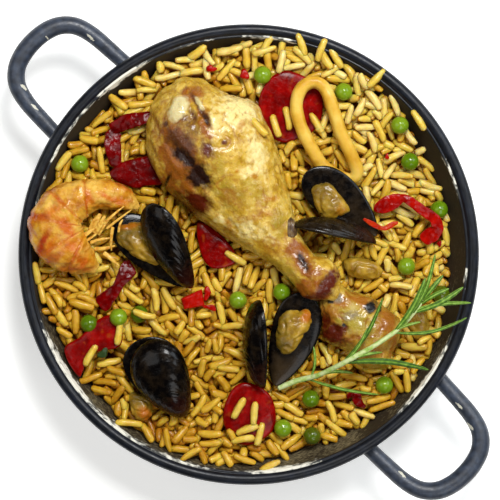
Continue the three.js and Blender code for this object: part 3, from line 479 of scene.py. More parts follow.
DRUM_FOOT = (35.5, -19.8)
DRUM_HEADING = 130.0
DRUM_KEYS = [  # distance from the knuckle, sideways, height, half width, half height
    [-3.4, 2.5, 44, 0.8, 0.8],
    [0, 3, 44, 5.5, 4],
    [5, 3, 44, 9.2, 7.2],
    [11, 2, 43.6, 11, 8.2],
    [17, 0, 43, 8.4, 7.2],
    [28, 0, 41.5, 9.2, 8],
    [43, 0.5, 39.5, 15, 12.5],
    [60, 0.9, 37, 22, 17.5],
    [78, 2.6, 36, 26.9, 21.2],
    [92, 4.4, 36, 28.3, 21.4],
    [103, 7.4, 36, 24, 18.8],
    [111, 12, 36, 15.5, 13],
    [116.5, 16.5, 36, 5, 5],
]
DRUM_SLITS = [(-22, 66, 8, 1.4, -58, 0.9), (-25, 62, 5, 1.6, -70, 0.8)]  # sunk into the skin
DRUM_MARKS = {  # how ragged each kind is, then its spots: x, y, half length, half width, heading, strength
    "browned": (0.5, [
        (-31, 43, 20, 9, -70, 1.0), (-26, 72, 7, 4, 20, 0.8), (-36, 30, 8, 5, -60, 0.8),
        (-20, 58, 9, 3.5, -75, 0.8), (22, 1, 9, 4.5, -55, 0.9), (26, -6, 8, 4, -40, 0.9),
        (13, 2, 7, 4, -40, 0.5), (29, -16, 9, 6, 20, 1.0), (-8.5, 26, 7, 4, -20, 0.45),
        (2, 17, 8, 3, 10, 0.5),
    ]),
    "purple": (0.5, [
        (-30, 49, 9, 5, -50, 1.0), (-26, 57, 7, 4, -60, 0.7), (-31, 64, 2, 1.6, 0, 0.9),
        (-37, 58.5, 1.8, 1.4, 0, 0.9), *DRUM_SLITS, (-18.4, 47, 4, 2.4, -60, 0.9),
    ]),
    "seared": (0.4, [
        (-28.4, 43.4, 8, 2.6, -40, 1.1), (-22.4, 35.4, 6.4, 5, -50, 1.0), (-18.8, 34.4, 2.4, 2.2, 0, 1.0),
        (-36.8, 33.6, 3.4, 0.8, 61, 1.0), (24.5, -3.5, 5.4, 2.2, -58, 0.8), (-19.2, 60.5, 4, 1, -65, 0.8),
        (33.6, -12.4, 4, 1.4, 50, 0.7),
    ]),
    "charred": (0.35, [
        (-24.2, 22.8, 7.4, 5, -8, 1.15), (-32.6, 27.2, 2, 1.6, 0, 1.0), (-19, 46, 2.4, 3.6, 0, 0.8),
        (-10.8, 49.8, 1.3, 1.1, 0, 1.0), (36, -13.8, 9.4, 2.8, 51, 1.1), (27.6, -19.6, 5, 1.8, 10, 0.8),
        (38.4, -8.4, 3.4, 2, 40, 0.8),
    ]),
    "olive": (0.5, [
        (-8, 27.4, 8, 5, -30, 0.8), (13.6, 14.2, 4, 7, 0, 0.8), (3.4, 28.6, 7, 4, -40, 0.6),
        (16, -7, 8, 4, -40, 0.6), (-14, 40, 3, 10, 20, 0.6), (20.5, -14, 7, 3.4, -40, 0.6),
    ]),
    # painted highlights: pale cream where the wet skin catches the light
    "cream": (0.5, [
        (-4, 66, 10, 9, -30, 0.9), (0.2, 12, 8, 4, -12, 0.65), (-12.2, 15.2, 4, 2, -30, 0.7),
        (4, 46, 12, 4, -70, 0.8), (-16, 57, 6, 4, -60, 0.8), (9, 8.6, 4, 3, 0, 0.5),
        (2.2, 38, 6, 3, 20, 0.7), (-30, 54, 5, 1.6, -60, 0.5),
    ]),
    "orange": (0.4, [
        (2.4, 35.2, 1.8, 1.2, 0, 1.1), (10.6, 25, 3.4, 1.2, 15, 0.9), (-3.2, 58, 3, 1.4, 60, 0.7),
        (-5.4, 37, 1.2, 0.8, 40, 1.0), (8, 18, 3, 1, 10, 0.7), (16, 30, 2.4, 1, -60, 0.6),
    ]),
    "gristle": (0.2, [
        (-31.6, 65.6, 5.6, 3.4, 62, 1.2), (-22, 67.6, 3.4, 1.1, -58, 0.9),
    ]),
}


def along_drum(places):
    """Distance from the knuckle and sideways from the bone, for each place."""
    turn = math.radians(DRUM_HEADING)
    dx, dy = places[:, 0] - DRUM_FOOT[0], places[:, 1] - DRUM_FOOT[1]
    return dx * math.cos(turn) + dy * math.sin(turn), dx * math.sin(turn) - dy * math.cos(turn)


def folds(places, size, seed):
    """Near 1 along thin wandering lines, as where a skin is folded."""
    lines = np.exp(-(rough(places, size, seed, 2) * 9) ** 2)
    return lines * np.clip(0.5 + 1.2 * rough(places, size, seed + 1), 0, 1)


def drumstick_piece():
    """The drumstick: skin over one flank and bare meat on the other."""
    turn = math.radians(DRUM_HEADING)
    rows = []
    for s, side, z, w, h in DRUM_KEYS:
        rows.append([DRUM_FOOT[0] + math.cos(turn) * s + math.sin(turn) * side,
                     DRUM_FOOT[1] + math.sin(turn) * s - math.cos(turn) * side, z, w, h])
    drum = skin("chicken_drumstick", path_rings(smooth_rows(rows, 34), 28), levels=3)

    def carve(places, normals):
        s, side = along_drum(places)
        # how much of the outer flank is skin: from 18 mm up the bone, fading in over 12 mm
        skinned = np.clip((side + 4) / 10, 0, 1) * np.clip((s - 18) / 12, 0, 1)
        fall = np.clip((side + 9) / 4, 0, 1) - 0.5  # the skin ends in a step over the bared flank
        out = 1.0 * rough(places, 20, 1) + 0.5 * rough(places, 8, 2)
        out += 1.1 * fall * np.clip((s - 45) / 20, 0, 1)
        out += skinned * (0.55 * rough(places, 4.4, 3) + 0.24 * rough(places, 2.0, 4))
        stretched = np.stack([s * 0.3, side, places[:, 2]], axis=1)
        out += (1 - skinned) * (0.7 * rough(stretched, 3.6, 5) + 0.16 * rough(places, 1.6, 6))
        out -= (0.5 * folds(places, 11, 7) + 0.3 * folds(places, 3.6, 17)) * skinned
        out += (1.6 * spots(places, DRUM_MARKS["gristle"][1], 0.1, 4)
                - 0.9 * spots(places, DRUM_SLITS, 0.4, 3))
        return out - 0.8 * spots(places, DRUM_MARKS["seared"][1], 0.4, 3)

    push(drum, carve)
    places, _ = points_of(drum)
    # painted shade: the creases of the skin are painted darker
    store(drum, "crease_shade", np.maximum(0.75 * folds(places, 11, 7), 0.6 * folds(places, 3.6, 17)))
    for name, (ragged, marks) in DRUM_MARKS.items():
        raised = 0.5 * rough(places, 2.0, 4) * (name == "cream")  # painted highlight: the ridges of the skin are painted paler, as where they catch the light
        store(drum, name, np.clip(spots(places, marks, ragged, 4, len(name)) + raised, 0, 1.2))
    serve(drum, surface(
        # roast chicken skin: pale and oily over fat, browned and blackened where it met the pan
        # with painted highlights in pale cream on the wet skin and its ridges
        "roast_chicken_skin", ["#A67A1C", "#C09628", "#D0A93E", "#DCBA5A", "#C4982E"], patch=5.0,
        roughness=(0.2, 0.44), flesh=0.25, flesh_depth=2.4,
        marks=[("olive", "#A08420", 1.0, 4.0), ("cream", "#ECD68E", 1.8, 1.8),
               # painted shade: darker brown-orange along the creases
               ("browned", "#945414", 1.8, 2.0), ("crease_shade", "#A06A14", 1.4, 1.4),
               ("orange", "#B47A14", 1.2, 1.6), (0.12, "#94620F", 2.0, 2.2),
               ("purple", "#5E3418", 1.3, 1.6), ("seared", "#260F06", 1.4, 1.6),
               ("charred", "#5A1C06", 1.3, 1.6), ("gristle", "#D6C68E", 2.0, 2.4)],
        bumps=[(4.0, 0.36, "RIDGED_MULTIFRACTAL"), (1.0, 0.34)], coat=0.3), "chicken", "drumstick")


THIGH_OUTLINE = [
    (31.5, -22.5), (36, -14.8), (40, -12), (46.5, -17), (55, -19.3), (60, -22), (67, -27), (69.8, -30),
    (70, -36.5), (67.4, -42), (65, -46), (64.8, -51.6), (61, -53), (54.2, -51.6), (49.2, -50.2),
    (44.7, -44), (37.6, -42.5), (34.2, -40.2), (32.4, -35.6), (32.8, -28),
]
THIGH_MIDDLE = 36  # height of its middle plane
THIGH_RISE = 11.5  # from there to its top
THIGH_DROP = 8  # and to its underside
THIGH_SLOPES = (-0.04, 0.05)
THIGH_RIDGE = [(52, -21.6, 9, 2.6, -22, 1.0)]  # the raised, browned edge
THIGH_MARKS = {  # spots of each kind: x, y, half length, half width, heading, strength
    "browned": [
        *THIGH_RIDGE, (62.6, -30.8, 5, 7, 0, 1.0), (35.8, -28, 4.5, 7, 0, 0.9), (44, -38, 7, 4, 0, 0.7),
        (66, -42, 2.4, 7, 0, 0.9), (57, -44, 7, 5, 20, 0.6), (41, -21, 5, 3, -20, 0.8),
    ],
    "charred": [
        (38.4, -36.2, 5.6, 5, 0, 1.1), (35, -31, 2.2, 4, 0, 0.9), (43.4, -33.4, 1.6, 2.4, 0, 0.9),
        (42, -39.4, 3, 1.6, 0, 0.8),
    ],
    "soot": [
        (55.4, -23.6, 2.6, 2.9, 0, 1.1), (59.4, -24.8, 1.2, 1.4, 0, 1.0), (38.2, -17.4, 1.4, 1, 0, 1.0),
        (37.4, -21.4, 1.8, 1.2, 0, 0.9), (43, -31.8, 0.9, 0.9, 0, 1.0),
    ],
    "grey": [
        (39.4, -19.4, 3.8, 2.8, 0, 1.0), (46, -27.4, 3.6, 2.6, 0, 0.6),
    ],
    "olive": [
        (46, -30.4, 7, 8, 0, 0.9), (55, -34, 5, 6, 0, 0.5),
    ],
}


def thigh_piece():
    """The browned piece of thigh beside the drumstick's knuckle."""
    rings = pillow_rings(THIGH_OUTLINE, THIGH_MIDDLE, THIGH_RISE, THIGH_DROP, count=40, tilt=THIGH_SLOPES)
    thigh = skin("chicken_thigh_piece", rings, levels=3)

    def carve(places, normals):
        out = 1.1 * rough(places, 13, 11) + 0.6 * rough(places, 5, 12) + 0.35 * rough(places, 2.2, 13)
        out += 0.5 * spots(places, THIGH_RIDGE, 0.2, 4)
        out -= 0.8 * spots(places, THIGH_MARKS["charred"], 0.4, 3)
        return out - 0.5 * folds(places, 8, 14)

    push(thigh, carve)
    places, _ = points_of(thigh)
    # painted shade: the creases of the skin are painted darker
    store(thigh, "crease_shade", 0.75 * folds(places, 8, 14))
    for name, marks in THIGH_MARKS.items():
        store(thigh, name, spots(places, marks, 0.5, 3.4, len(name)))
    serve(thigh, surface(
        # roast thigh: golden, greener over the fat, glossy brown where it was seared
        "roast_thigh_skin", ["#96690F", "#B08A22", "#C09E3C", "#D0B454"], patch=5.0,
        roughness=(0.16, 0.46), flesh=0.12, flesh_depth=2.0,
        marks=[("olive", "#A8922E", 1.0, 4.0), ("browned", "#A2641A", 1.3, 2.2),
               # painted shade: darker brown along the creases
               ("crease_shade", "#8E4E10", 1.4, 1.4), ("grey", "#84745A", 1.6, 2.0),
               (0.14, "#7C4408", 2.4, 1.4), ("charred", "#561804", 1.2, 1.4),
               ("soot", "#1C1A18", 1.8, 1.2)],
        bumps=[(4.0, 0.5, "RIDGED_MULTIFRACTAL"), (1.1, 0.4)], coat=0.5), "chicken", "chicken_thigh")


# ---------------------------------------------------------------- prawn and squid

PRAWN_CENTRE = (-72.6, 12.4)
PRAWN_KEYS = [  # angle, outer radius, half thickness, height, half height
    [20, 26, 1.2, 38.5, 1.2],
    [34, 25.8, 4.4, 39.5, 3.6],
    [52, 24.6, 6.6, 40.5, 6],
    [72, 23, 7.2, 41.5, 7],
    [95, 22, 7.8, 42, 8],
    [120, 23.2, 9.6, 42.5, 8.6],
    [146, 25.4, 11.2, 43, 9],
    [174, 27.6, 12.8, 43.4, 9],
    [200, 27, 12.6, 43, 8.8],
    [226, 25.2, 11.2, 42, 8.2],
    [250, 22.8, 8.6, 40.5, 7.2],
    [268, 22, 6, 39, 5],
    [280, 22, 2, 38, 2],
]
PRAWN_SEAMS = [94, 136, 170, 211, 246]  # where one segment of the body laps over the next
PRAWN_RED = [  # x, y, half length, half width, heading, strength
    (-97.4, 17.4, 7, 1.6, -4, 0.9), (-93, 4, 7, 1.8, 62, 0.9), (-88, -1.6, 5, 2.4, 30, 0.7),
    (-79, -7, 8, 2, 6, 0.6), (-60, 33.4, 9, 1.6, -32, 0.7), (-90, 29, 6, 1.4, 48, 0.5),
    (-99, 12, 1.4, 7, 0, 0.6),
]
PRAWN_ORANGE = [  # in the same order
    (-82, 12, 7, 2.6, -50, 0.9), (-88, 20, 6, 2.4, 30, 0.6), (-80, 4, 4, 2.6, 0, 0.8),
    (-75, -3, 4, 3, -60, 0.9), (-72, 26, 4, 2, -70, 0.7), (-62, 25, 7, 1.8, -20, 0.8),
    (-90, 3, 5, 2, 50, 0.8),
]
PRAWN_SHREDS = [  # width, then where each fibre starts and ends
    (1.3, (-71.6, 10.4, 42), (-67, 18.4, 45)), (1.0, (-70, 9.6, 43), (-65, 17.6, 45.6)),
    (0.7, (-68.4, 9, 42), (-63.4, 16, 44)), (0.5, (-66, 13.6, 44), (-56.4, 22, 43)),
    (0.45, (-64.6, 11.6, 43), (-53, 20.4, 42)), (0.6, (-61.6, 12.6, 43), (-62.4, 1.6, 40.6)),
    (0.5, (-76, 5, 42), (-67.6, 10.4, 43)), (0.8, (-77.6, 6.4, 42.6), (-69, 12.4, 43.6)),
    (0.6, (-72, 5.4, 41.4), (-62.6, 7.6, 42)), (0.7, (-70, 2.6, 40.6), (-60.6, 4, 40.4)),
    (0.8, (-66, 1, 39.6), (-59, -5.4, 38.6)), (0.5, (-59, 10, 42), (-57, 16, 42.4)),
]


def prawn_shred(number, width, start, end):
    """A torn fibre at the prawn's cut end."""
    middle = (np.array(start) + end) / 2 + (0.5 * math.sin(number * 2.1), 0.5 * math.cos(number * 1.7), 0.6)
    keys = [[*start, width * 1.4, 0.5], [*middle, width * 1.3, 0.6], [*end, width * 0.6, 0.3]]
    shred = skin("shred", path_rings(smooth_rows(keys, 14), 10), levels=1)
    push(shred, lambda p, n: 0.16 * rough(p, 1.4, number))
    places, _ = points_of(shred)
    store(shred, "pale", np.clip(0.6 + 0.5 * rough(places, 1.2, number), 0, 1))
    return shred


def prawn_piece():
    """The peeled, curled prawn, with torn fibres at its cut end."""
    rows = []
    for angle, outer, half, z, h in smooth_rows(PRAWN_KEYS, 44):
        r = outer - half
        turn = math.radians(angle)
        rows.append([PRAWN_CENTRE[0] + r * math.cos(turn), PRAWN_CENTRE[1] + r * math.sin(turn), z, half, h])
    prawn = skin("peeled_prawn", path_rings(rows, 18), levels=2)

    def past_seams(places):
        dx, dy = places[:, 0] - PRAWN_CENTRE[0], places[:, 1] - PRAWN_CENTRE[1]
        angle = np.degrees(np.arctan2(dy, dx)) % 360
        return [(angle - seam) / 6 + 0.4 * rough(places, 6, seam) for seam in PRAWN_SEAMS]

    def shape(places, normals):
        out = 1.0 * rough(places, 9, 21) + 0.7 * rough(places, 3.8, 22) + 0.32 * rough(places, 1.8, 23)
        for past in past_seams(places):
            lap = 0.6 * np.exp(-np.clip(past, 0, None) ** 2 * 0.4) * (past > 0)
            out += lap - 0.4 * np.exp(-past ** 2 * 5)
        return out

    push(prawn, shape)
    places, _ = points_of(prawn)
    seams = np.max([np.exp(-past ** 2 * 2.4) for past in past_seams(places)], axis=0)
    store(prawn, "seam", seams * np.clip(0.6 + 0.5 * rough(places, 7, 24), 0, 1))
    store(prawn, "red_edge", spots(places, PRAWN_RED, 0.5, 4, 1))
    store(prawn, "orange", spots(places, PRAWN_ORANGE, 0.6, 4, 2))
    store(prawn, "pale", np.clip(0.4 + 0.6 * rough(places, 7, 25), 0, 1))
    shreds = [prawn_shred(number, *row) for number, row in enumerate(PRAWN_SHREDS)]
    serve(join([prawn] + shreds), surface(
        # boiled prawn flesh: orange bands over white, redder along the segment edges
        "boiled_prawn", ["#AC640A", "#C07810", "#D0901E", "#DCA634"], patch=4.0, roughness=(0.28, 0.5),
        flesh=0.15, flesh_depth=1.6,
        marks=[("pale", "#EABC52", 1.7, 1.8), ("orange", "#C86204", 1.2, 2.0),
               ("red_edge", "#A83808", 1.2, 1.8), ("seam", "#B45406", 1.2, 1.6)],
        bumps=[(3.4, 0.6, "RIDGED_MULTIFRACTAL"), (1.0, 0.34)], coat=0.3), "prawn", "prawn")


SQUID_PATH = [
    [29.7, 78.4, 40.5], [24, 75.4, 40.5], [21.6, 68, 40.5], [23.8, 58, 40], [28.5, 48.9, 38.5],
    [33.4, 41, 36], [40.6, 36, 34.4], [47, 34.4, 34.6], [49.5, 38, 36], [47.2, 44.6, 38],
    [42.2, 54.8, 39.5], [38.6, 65, 40.5], [35, 75, 40.5],
]
SQUID_HALF_SIZE = (3.05, 3.8)  # of the band: half width and half height


def squid_piece():
    """The squid ring, pulled long."""
    keys = [[*p, *SQUID_HALF_SIZE] for p in SQUID_PATH]

    def band(angle):
        c, s = math.cos(angle), math.sin(angle)
        return (math.copysign(abs(c) ** 0.8, c), math.copysign(abs(s) ** 0.85, s))

    rings = path_rings(smooth_rows(keys, 60, closed=True), 16, closed=True, section=band)
    ring = skin("squid_ring_piece", rings, closed=True, levels=1)
    push(ring, lambda p, n: 0.34 * rough(p, 9, 31) + 0.16 * rough(p, 3.2, 32))
    serve(ring, surface(
        # cooked squid: firm and smooth, stained yellow by the broth
        "cooked_squid", ["#C8921C", "#D8A834", "#E2B848", "#E8C660"], patch=8.0, roughness=(0.34, 0.5),
        flesh=0.25, flesh_depth=2.5, marks=[(0.1, "#C08420", 1.6, 3.0)], bumps=[(1.6, 0.14), (0.5, 0.05)],
        coat=0.1), "squid", "squid_ring")


# ---------------------------------------------------------------- mussels

VALVES = {  # hinge, heading, pitch, roll, length, width, depth
    "mussel_left_valve_lower": [(-26.5, -14.5, 38), 138, 3, 186, 46, 22, 7],
    "mussel_left_valve_upper": [(-25.5, -15, 41.2), 115, 20, -38, 45, 22, 8],
    "mussel_right_valve_lower": [(58.5, 8.5, 39), 139, 6, 176, 44, 22, 7],
    "mussel_right_valve_upper": [(58, 4.4, 40), 168, 7, 84, 40, 20, 8],
    "mussel_front_valve_lower": [(12, -60, 38), 72, 5, 184, 45, 23, 7],
    "mussel_front_valve_upper": [(7.6, -61, 39.2), 93, 14, -72, 42, 22, 9],
    "mussel_near_valve_lower": [(-33, -72, 35), 119, 7, 178, 38, 27, 6],
    "mussel_near_valve_upper": [(-29, -74, 36.5), 115, 13, -12, 40, 27, 9.5],
}


def valve_outline(length, width, count):
    """The valve's edge in plan: a pointed hinge at the origin and a broad round end."""
    angles = np.arange(count) * math.tau / count
    x = length / 2 * (1 - np.cos(angles))
    y = width / 2 * 0.94 * np.sin(angles) * (1 - 0.34 * np.cos(angles)) + 0.05 * width * np.sin(angles) ** 2
    return np.stack([x, y], axis=1)


VALVE_WALL = 1.3  # its thickness
VALVE_APEX = 0.42  # place of the dome's top, as a share of the length
VALVE_PEARL = {"mussel_front_valve_lower": 0.6}  # others have 0.4
VALVE_SHEEN = {"mussel_right_valve_upper": 0.18}  # painted sheen: a brown reflection painted over the whole valve


def valve_rings(length, width, depth):
    """The valve's inside and outside, from the middle of its hollow over its edge to its top."""
    outline = valve_outline(length, width, 48)
    apex = np.array([VALVE_APEX * length, 0.0])
    domes = [(math.sin(t), math.cos(t)) for t in np.linspace(math.pi / 2, 0.05, 9)]
    rings = []
    for share, rise in reversed(domes):
        inset = VALVE_WALL * (1 if share < 0.99 else 0.6)
        away = outline - apex
        away *= (1 - inset / np.linalg.norm(away, axis=1))[:, None]
        rings.append([Vector((*(apex + p * share), rise * (depth - VALVE_WALL))) for p in away])
    for share, rise in domes:
        rings.append([Vector((*(apex + p * share), rise * depth)) for p in outline - apex])
    return rings


def growth_of(places, length, width):
    """Distance from the hinge as a share of that of the edge in the same direction."""
    edge = valve_outline(length, width, 360)[1:]
    edge_turn = np.arctan2(edge[:, 1], edge[:, 0])
    edge_reach = np.hypot(edge[:, 0], edge[:, 1])
    order = np.argsort(edge_turn)
    turn = np.arctan2(places[:, 1], places[:, 0])
    return np.hypot(places[:, 0], places[:, 1]) / np.interp(turn, edge_turn[order], edge_reach[order])


def valve_piece(node, shell):
    """One valve of a mussel, turned to its place."""
    at, heading, pitch, roll, length, width, depth = VALVES[node]
    valve = skin(node.replace("_valve", "_shell"), valve_rings(length, width, depth), levels=2)
    places, normals = points_of(valve)
    growth = growth_of(places, length, width)
    inner = np.clip(0.5 - normals[:, 2] * 4 - (places[:, 2] < 0.4) * 2, 0, 1)
    wander = growth * length + 0.5 * rough(places, 9, 41)
    ridges = 0.07 * np.sin(wander * 1.3) + 0.045 * np.sin(wander * 3.3)
    set_points(valve, places + normals * ((1 - inner) * ridges + 0.2 * rough(places, 10, 42))[:, None])
    pearl = inner * np.clip(1.05 - growth * 1.5, 0, 1) * VALVE_PEARL.get(node, 0.4)
    # pearly nacre inside the valves, and on one valve a painted brown sheen all over
    store(valve, "nacre_and_sheen", np.maximum(pearl, VALVE_SHEEN.get(node, 0.0)))
    store(valve, "hinge", (1 - inner) * np.clip(1.15 - places[:, 0] / (0.36 * length), 0, 1))
    matrix = (Matrix.Translation(at) @ Matrix.Rotation(math.radians(heading), 4, "Z")
              @ Matrix.Rotation(math.radians(-pitch), 4, "Y") @ Matrix.Rotation(math.radians(roll), 4, "X"))
    valve.data.transform(matrix)
    serve(valve, shell, "shell", node)


def shell_material():
    # wet mussel shell: almost black with fine growth lines, browner at the hinge, pearly inside it
    # one valve also has a painted brown sheen, as of a reflection
    return surface("mussel_shell", ["#020101", "#040202", "#070403"], patch=5.0, roughness=(0.18, 0.34),
                   marks=[("hinge", "#2A0C05", 1.4, 2.0), ("nacre_and_sheen", "#40301A", 0.9, 4.0)],
                   bumps=[(2.2, 0.1), (0.8, 0.12)], coat=0.25, sheen=0.1, ior=1.5)


MEATS = {  # outline, height, rise, drop, seed, heading towards the grey side
    "mussel_left_meat": [
        [(-59.4, 12.5), (-56.7, 13.9), (-51.7, 14.8), (-46, 14.6), (-40, 6), (-39.9, -4.8), (-46.9, -3.9),
         (-54.9, 0.7), (-60.3, 7)],
        40.5, 5.5, 4, 51, 150],
    "mussel_right_meat": [
        [(27.4, 29.3), (33.3, 33), (39.7, 30.2), (46, 20.7), (43.8, 18.4), (37.9, 16.1), (32, 18.9)],
        42, 5.5, 4, 52, 120],
    "mussel_front_meat": [
        [(12.9, -29.8), (16, -25.7), (21, -24.8), (27, -24.8), (28.8, -29.8), (28.3, -33), (25.1, -36.8),
         (22.4, -41.1), (18.8, -45.2), (15.6, -45.5), (12.4, -42.5)],
        42.5, 5.5, 4, 53, 190],
    "mussel_near_meat": [
        [(-55, -63), (-49, -63), (-44.5, -68), (-45.5, -75), (-50, -77), (-54.5, -71)],
        34.5, 4.5, 3.5, 54, 90],
    "loose_mussel_meat": [
        [(42, -1.8), (49, -1), (57, -3.5), (62, -7.6), (58, -11.4), (50, -11.6), (44.6, -8)],
        34, 5, 4, 55, 90],
    "ringed_mussel_meat": [
        [(73, -22), (79, -23), (83.2, -30), (82, -37), (77, -39.6), (72.6, -34)],
        31.5, 5, 4, 56, 0],
}
MEAT_FRILLS = [  # x, y, half length, half width, heading, strength
    (26.4, -27.4, 2.4, 3, 0, 1.1), (-54, 13, 4, 1.6, 10, 0.8), (42, 19.5, 3, 2, -50, 0.5),
    (-47, -73, 3.4, 2.4, -50, 1.2),
]
MEAT_GUT = {"loose_mussel_meat": 0.08, "ringed_mussel_meat": 0.08}  # how grey; others have 0.34


def meat_piece(node, flesh):
    """A mussel's flesh, creased and frilled."""
    outline, z, top, bottom, seed, grey = MEATS[node]
    meat = skin(node + "_piece", pillow_rings(outline, z, top, bottom, count=32, rounds=4), levels=3)

    def fold(places, normals):
        crease = np.abs(rough(places, 6.5, seed + 1))
        lumps = 0.9 * rough(places, 7, seed) - 0.7 * np.exp(-(crease * 6) ** 2)
        return lumps + 0.25 * rough(places, 2.2, seed + 2) + 0.5 * spots(places, MEAT_FRILLS, 0.5, 3)

    push(meat, fold)
    places, _ = points_of(meat)
    middle = np.mean(outline, axis=0)
    turn = math.radians(grey)
    side = (places[:, 0] - middle[0]) * math.cos(turn) + (places[:, 1] - middle[1]) * math.sin(turn)
    gut = MEAT_GUT.get(node, 0.34)
    store(meat, "liver", np.clip(gut + side / 18 + 0.4 * rough(places, 7, seed + 3), 0, 1))
    store(meat, "frill", spots(places, MEAT_FRILLS, 0.5, 3, seed))
    serve(meat, flesh, "meat", node)


def meat_material():
    # cooked mussel flesh: orange-yellow mantle, grey-green where the gut shows, moist
    return surface("cooked_mussel_flesh", ["#86600F", "#A47C1A", "#BC942A", "#D2AC42"], patch=4.0,
                   roughness=(0.2, 0.48), flesh=0.15, flesh_depth=1.6,
                   marks=[("liver", "#5A4A14", 0.8, 3.0), ("frill", "#B06410", 1.0, 2.2)],
                   bumps=[(3.0, 0.5, "RIDGED_MULTIFRACTAL"), (0.7, 0.22)], coat=0.35)


# ---------------------------------------------------------------- sausage, peppers, onion, peas

def slice_outline(x, y, rx, ry, seed):
    """An almost round slice."""
    rows = []
    for k in range(20):
        turn = math.tau * k / 20
        reach = 1 + 0.03 * math.sin(3 * turn + seed) + 0.02 * math.sin(5 * turn - seed)
        rows.append((x + rx * reach * math.cos(turn), y + ry * reach * math.sin(turn)))
    return rows


SAUSAGE = {  # outline, height of the middle, half thickness, slopes, seed
    "chorizo_top": [slice_outline(19.2, 67.5, 15, 16.4, 1), 35, 1.6, (-0.07, 0.1), 61],
    "chorizo_front": [slice_outline(0.2, -73, 12.3, 14.4, 2), 34.4, 1.8, (-0.035, 0.1), 62],
    "chorizo_centre": [
        [(-23.4, 14.6), (-15, 11), (-7.4, 3), (-5.2, -3.2), (-11, -6.2), (-18, -5.8), (-22.4, 1.6)],
        33.4, 1.5, (-0.04, -0.03), 63],
    "chorizo_left": [
        [(-84.3, -44), (-82.4, -40.6), (-77, -37.6), (-71.8, -32.4), (-67.8, -28.9), (-63.1, -27.5),
         (-57.6, -29.8), (-57.1, -35.6), (-59, -42.2), (-69.5, -44.5), (-74.1, -48.3), (-76.5, -50.9),
         (-77, -56.4), (-81.7, -50.6)],
        36, 1.7, (0.05, -0.03), 64],
}


def sausage_piece(node, material):
    """A slice of sausage, at a slant in the rice."""
    outline, z, half, tilt, seed = SAUSAGE[node]
    rings = pillow_rings(outline, z, half, half, count=48, rounds=6, tilt=tilt, plump=0.28)
    piece = skin(node + "_slice", rings, levels=2)
    push(piece, lambda p, n: 0.3 * rough(p, 12, seed) + 0.06 * rough(p, 2.6, seed + 1))
    places, _ = points_of(piece)
    rim = smooth_rows(outline, 96, closed=True)
    gaps = places[:, None, :2] - rim[None]
    to_rim = np.min(np.hypot(gaps[:, :, 0], gaps[:, :, 1]), axis=1)
    store(piece, "skin_edge", np.clip(1.2 - to_rim, 0, 1))
    store(piece, "fat", np.clip(rough(places, 2.6, seed + 2) * 1.7 - 0.35, 0, 1))
    serve(piece, material, "chorizo", node)


def sausage_material():
    # paprika sausage: dark red oily meat with flecks of orange fat and a brighter skin
    return surface("paprika_sausage", ["#600000", "#720200", "#840403", "#9A0E08"], patch=4.4,
                   roughness=(0.12, 0.36),
                   marks=[("fat", "#923008", 1.6, 1.2), ("skin_edge", "#860400", 2.2, 1.6)],
                   bumps=[(1.8, 0.2), (0.7, 0.08)], coat=0.12, sheen=0.14)


PEPPERS = {  # rows: x, y, z, half width, half thickness, twist
    "pepper_strip_far": [
        [-63.4, 57, 34.6, 0.6, 0.5, 0], [-62, 57.4, 35, 2.6, 0.8, 0], [-55, 60.6, 37.4, 3.6, 0.9, 8],
        [-48, 62, 38, 3, 0.9, 10], [-41.4, 64, 36.6, 1.6, 0.7, 5], [-39, 65.2, 36, 0.4, 0.4, 0],
    ],
    "pepper_strip_side": [
        [-61.4, 56.6, 34.4, 1.8, 0.7, 10], [-61.6, 55.6, 34.6, 3.4, 0.8, 5],
        [-62.2, 51, 35.4, 3.9, 0.9, 8], [-61.4, 45.6, 35.8, 3.6, 0.9, 8],
        [-60.6, 41.4, 34.6, 2.6, 0.8, 5], [-60.4, 40, 34.2, 1, 0.6, 0],
    ],
    "pepper_strip_left": [
        [-53, -4.8, 35, 2.4, 0.5, 0], [-54.4, -6, 35.4, 4, 0.6, 0], [-57.4, -10.4, 36.4, 3.3, 0.6, 8],
        [-60.4, -15.4, 36.6, 2.5, 0.6, 10], [-64, -19.4, 36.2, 3.4, 0.6, 5],
        [-67, -22.4, 35.4, 4, 0.5, 0], [-68.2, -23.4, 35, 2.2, 0.4, 0],
    ],
    "pepper_curl_right": [
        [57.4, 19.8, 36.6, 0.8, 0.4, -10], [59, 20.8, 37, 2.6, 0.6, -5], [63, 23, 37.6, 3.7, 0.7, -5],
        [67.6, 25, 38, 3, 0.8, 0], [71, 25.6, 38.4, 1.9, 1.2, 0], [74.4, 23.6, 38.4, 2.3, 1.1, 0],
        [79.6, 19.6, 37.4, 2.4, 1.1, 10], [84.4, 16.6, 36, 2.7, 1, 10], [86.2, 12.6, 34.6, 2.9, 0.9, 5],
        [84, 9.4, 33.6, 3.7, 0.7, 5], [80.6, 6.8, 32.6, 3, 0.6, 0], [79.6, 6, 32.4, 1.4, 0.4, 0],
    ],
    "pepper_sliver": [
        [52, 16.2, 42.6, 0.5, 0.4, 0], [56.6, 13.7, 41.6, 1.3, 0.9, 0], [60.9, 12, 40.4, 1.1, 0.8, 0],
        [64.4, 13.2, 39.4, 1.5, 0.9, 0], [67.8, 14.6, 38.2, 0.5, 0.5, 0],
    ],
    "pepper_shred_near": [
        [45, -65.4, 31.6, 0.8, 0.7, 0], [48.6, -63.6, 32.8, 2.2, 1, 20], [49.8, -67.4, 32.6, 2, 1, 0],
        [53.4, -70, 31.4, 0.7, 0.6, 0],
    ],
}
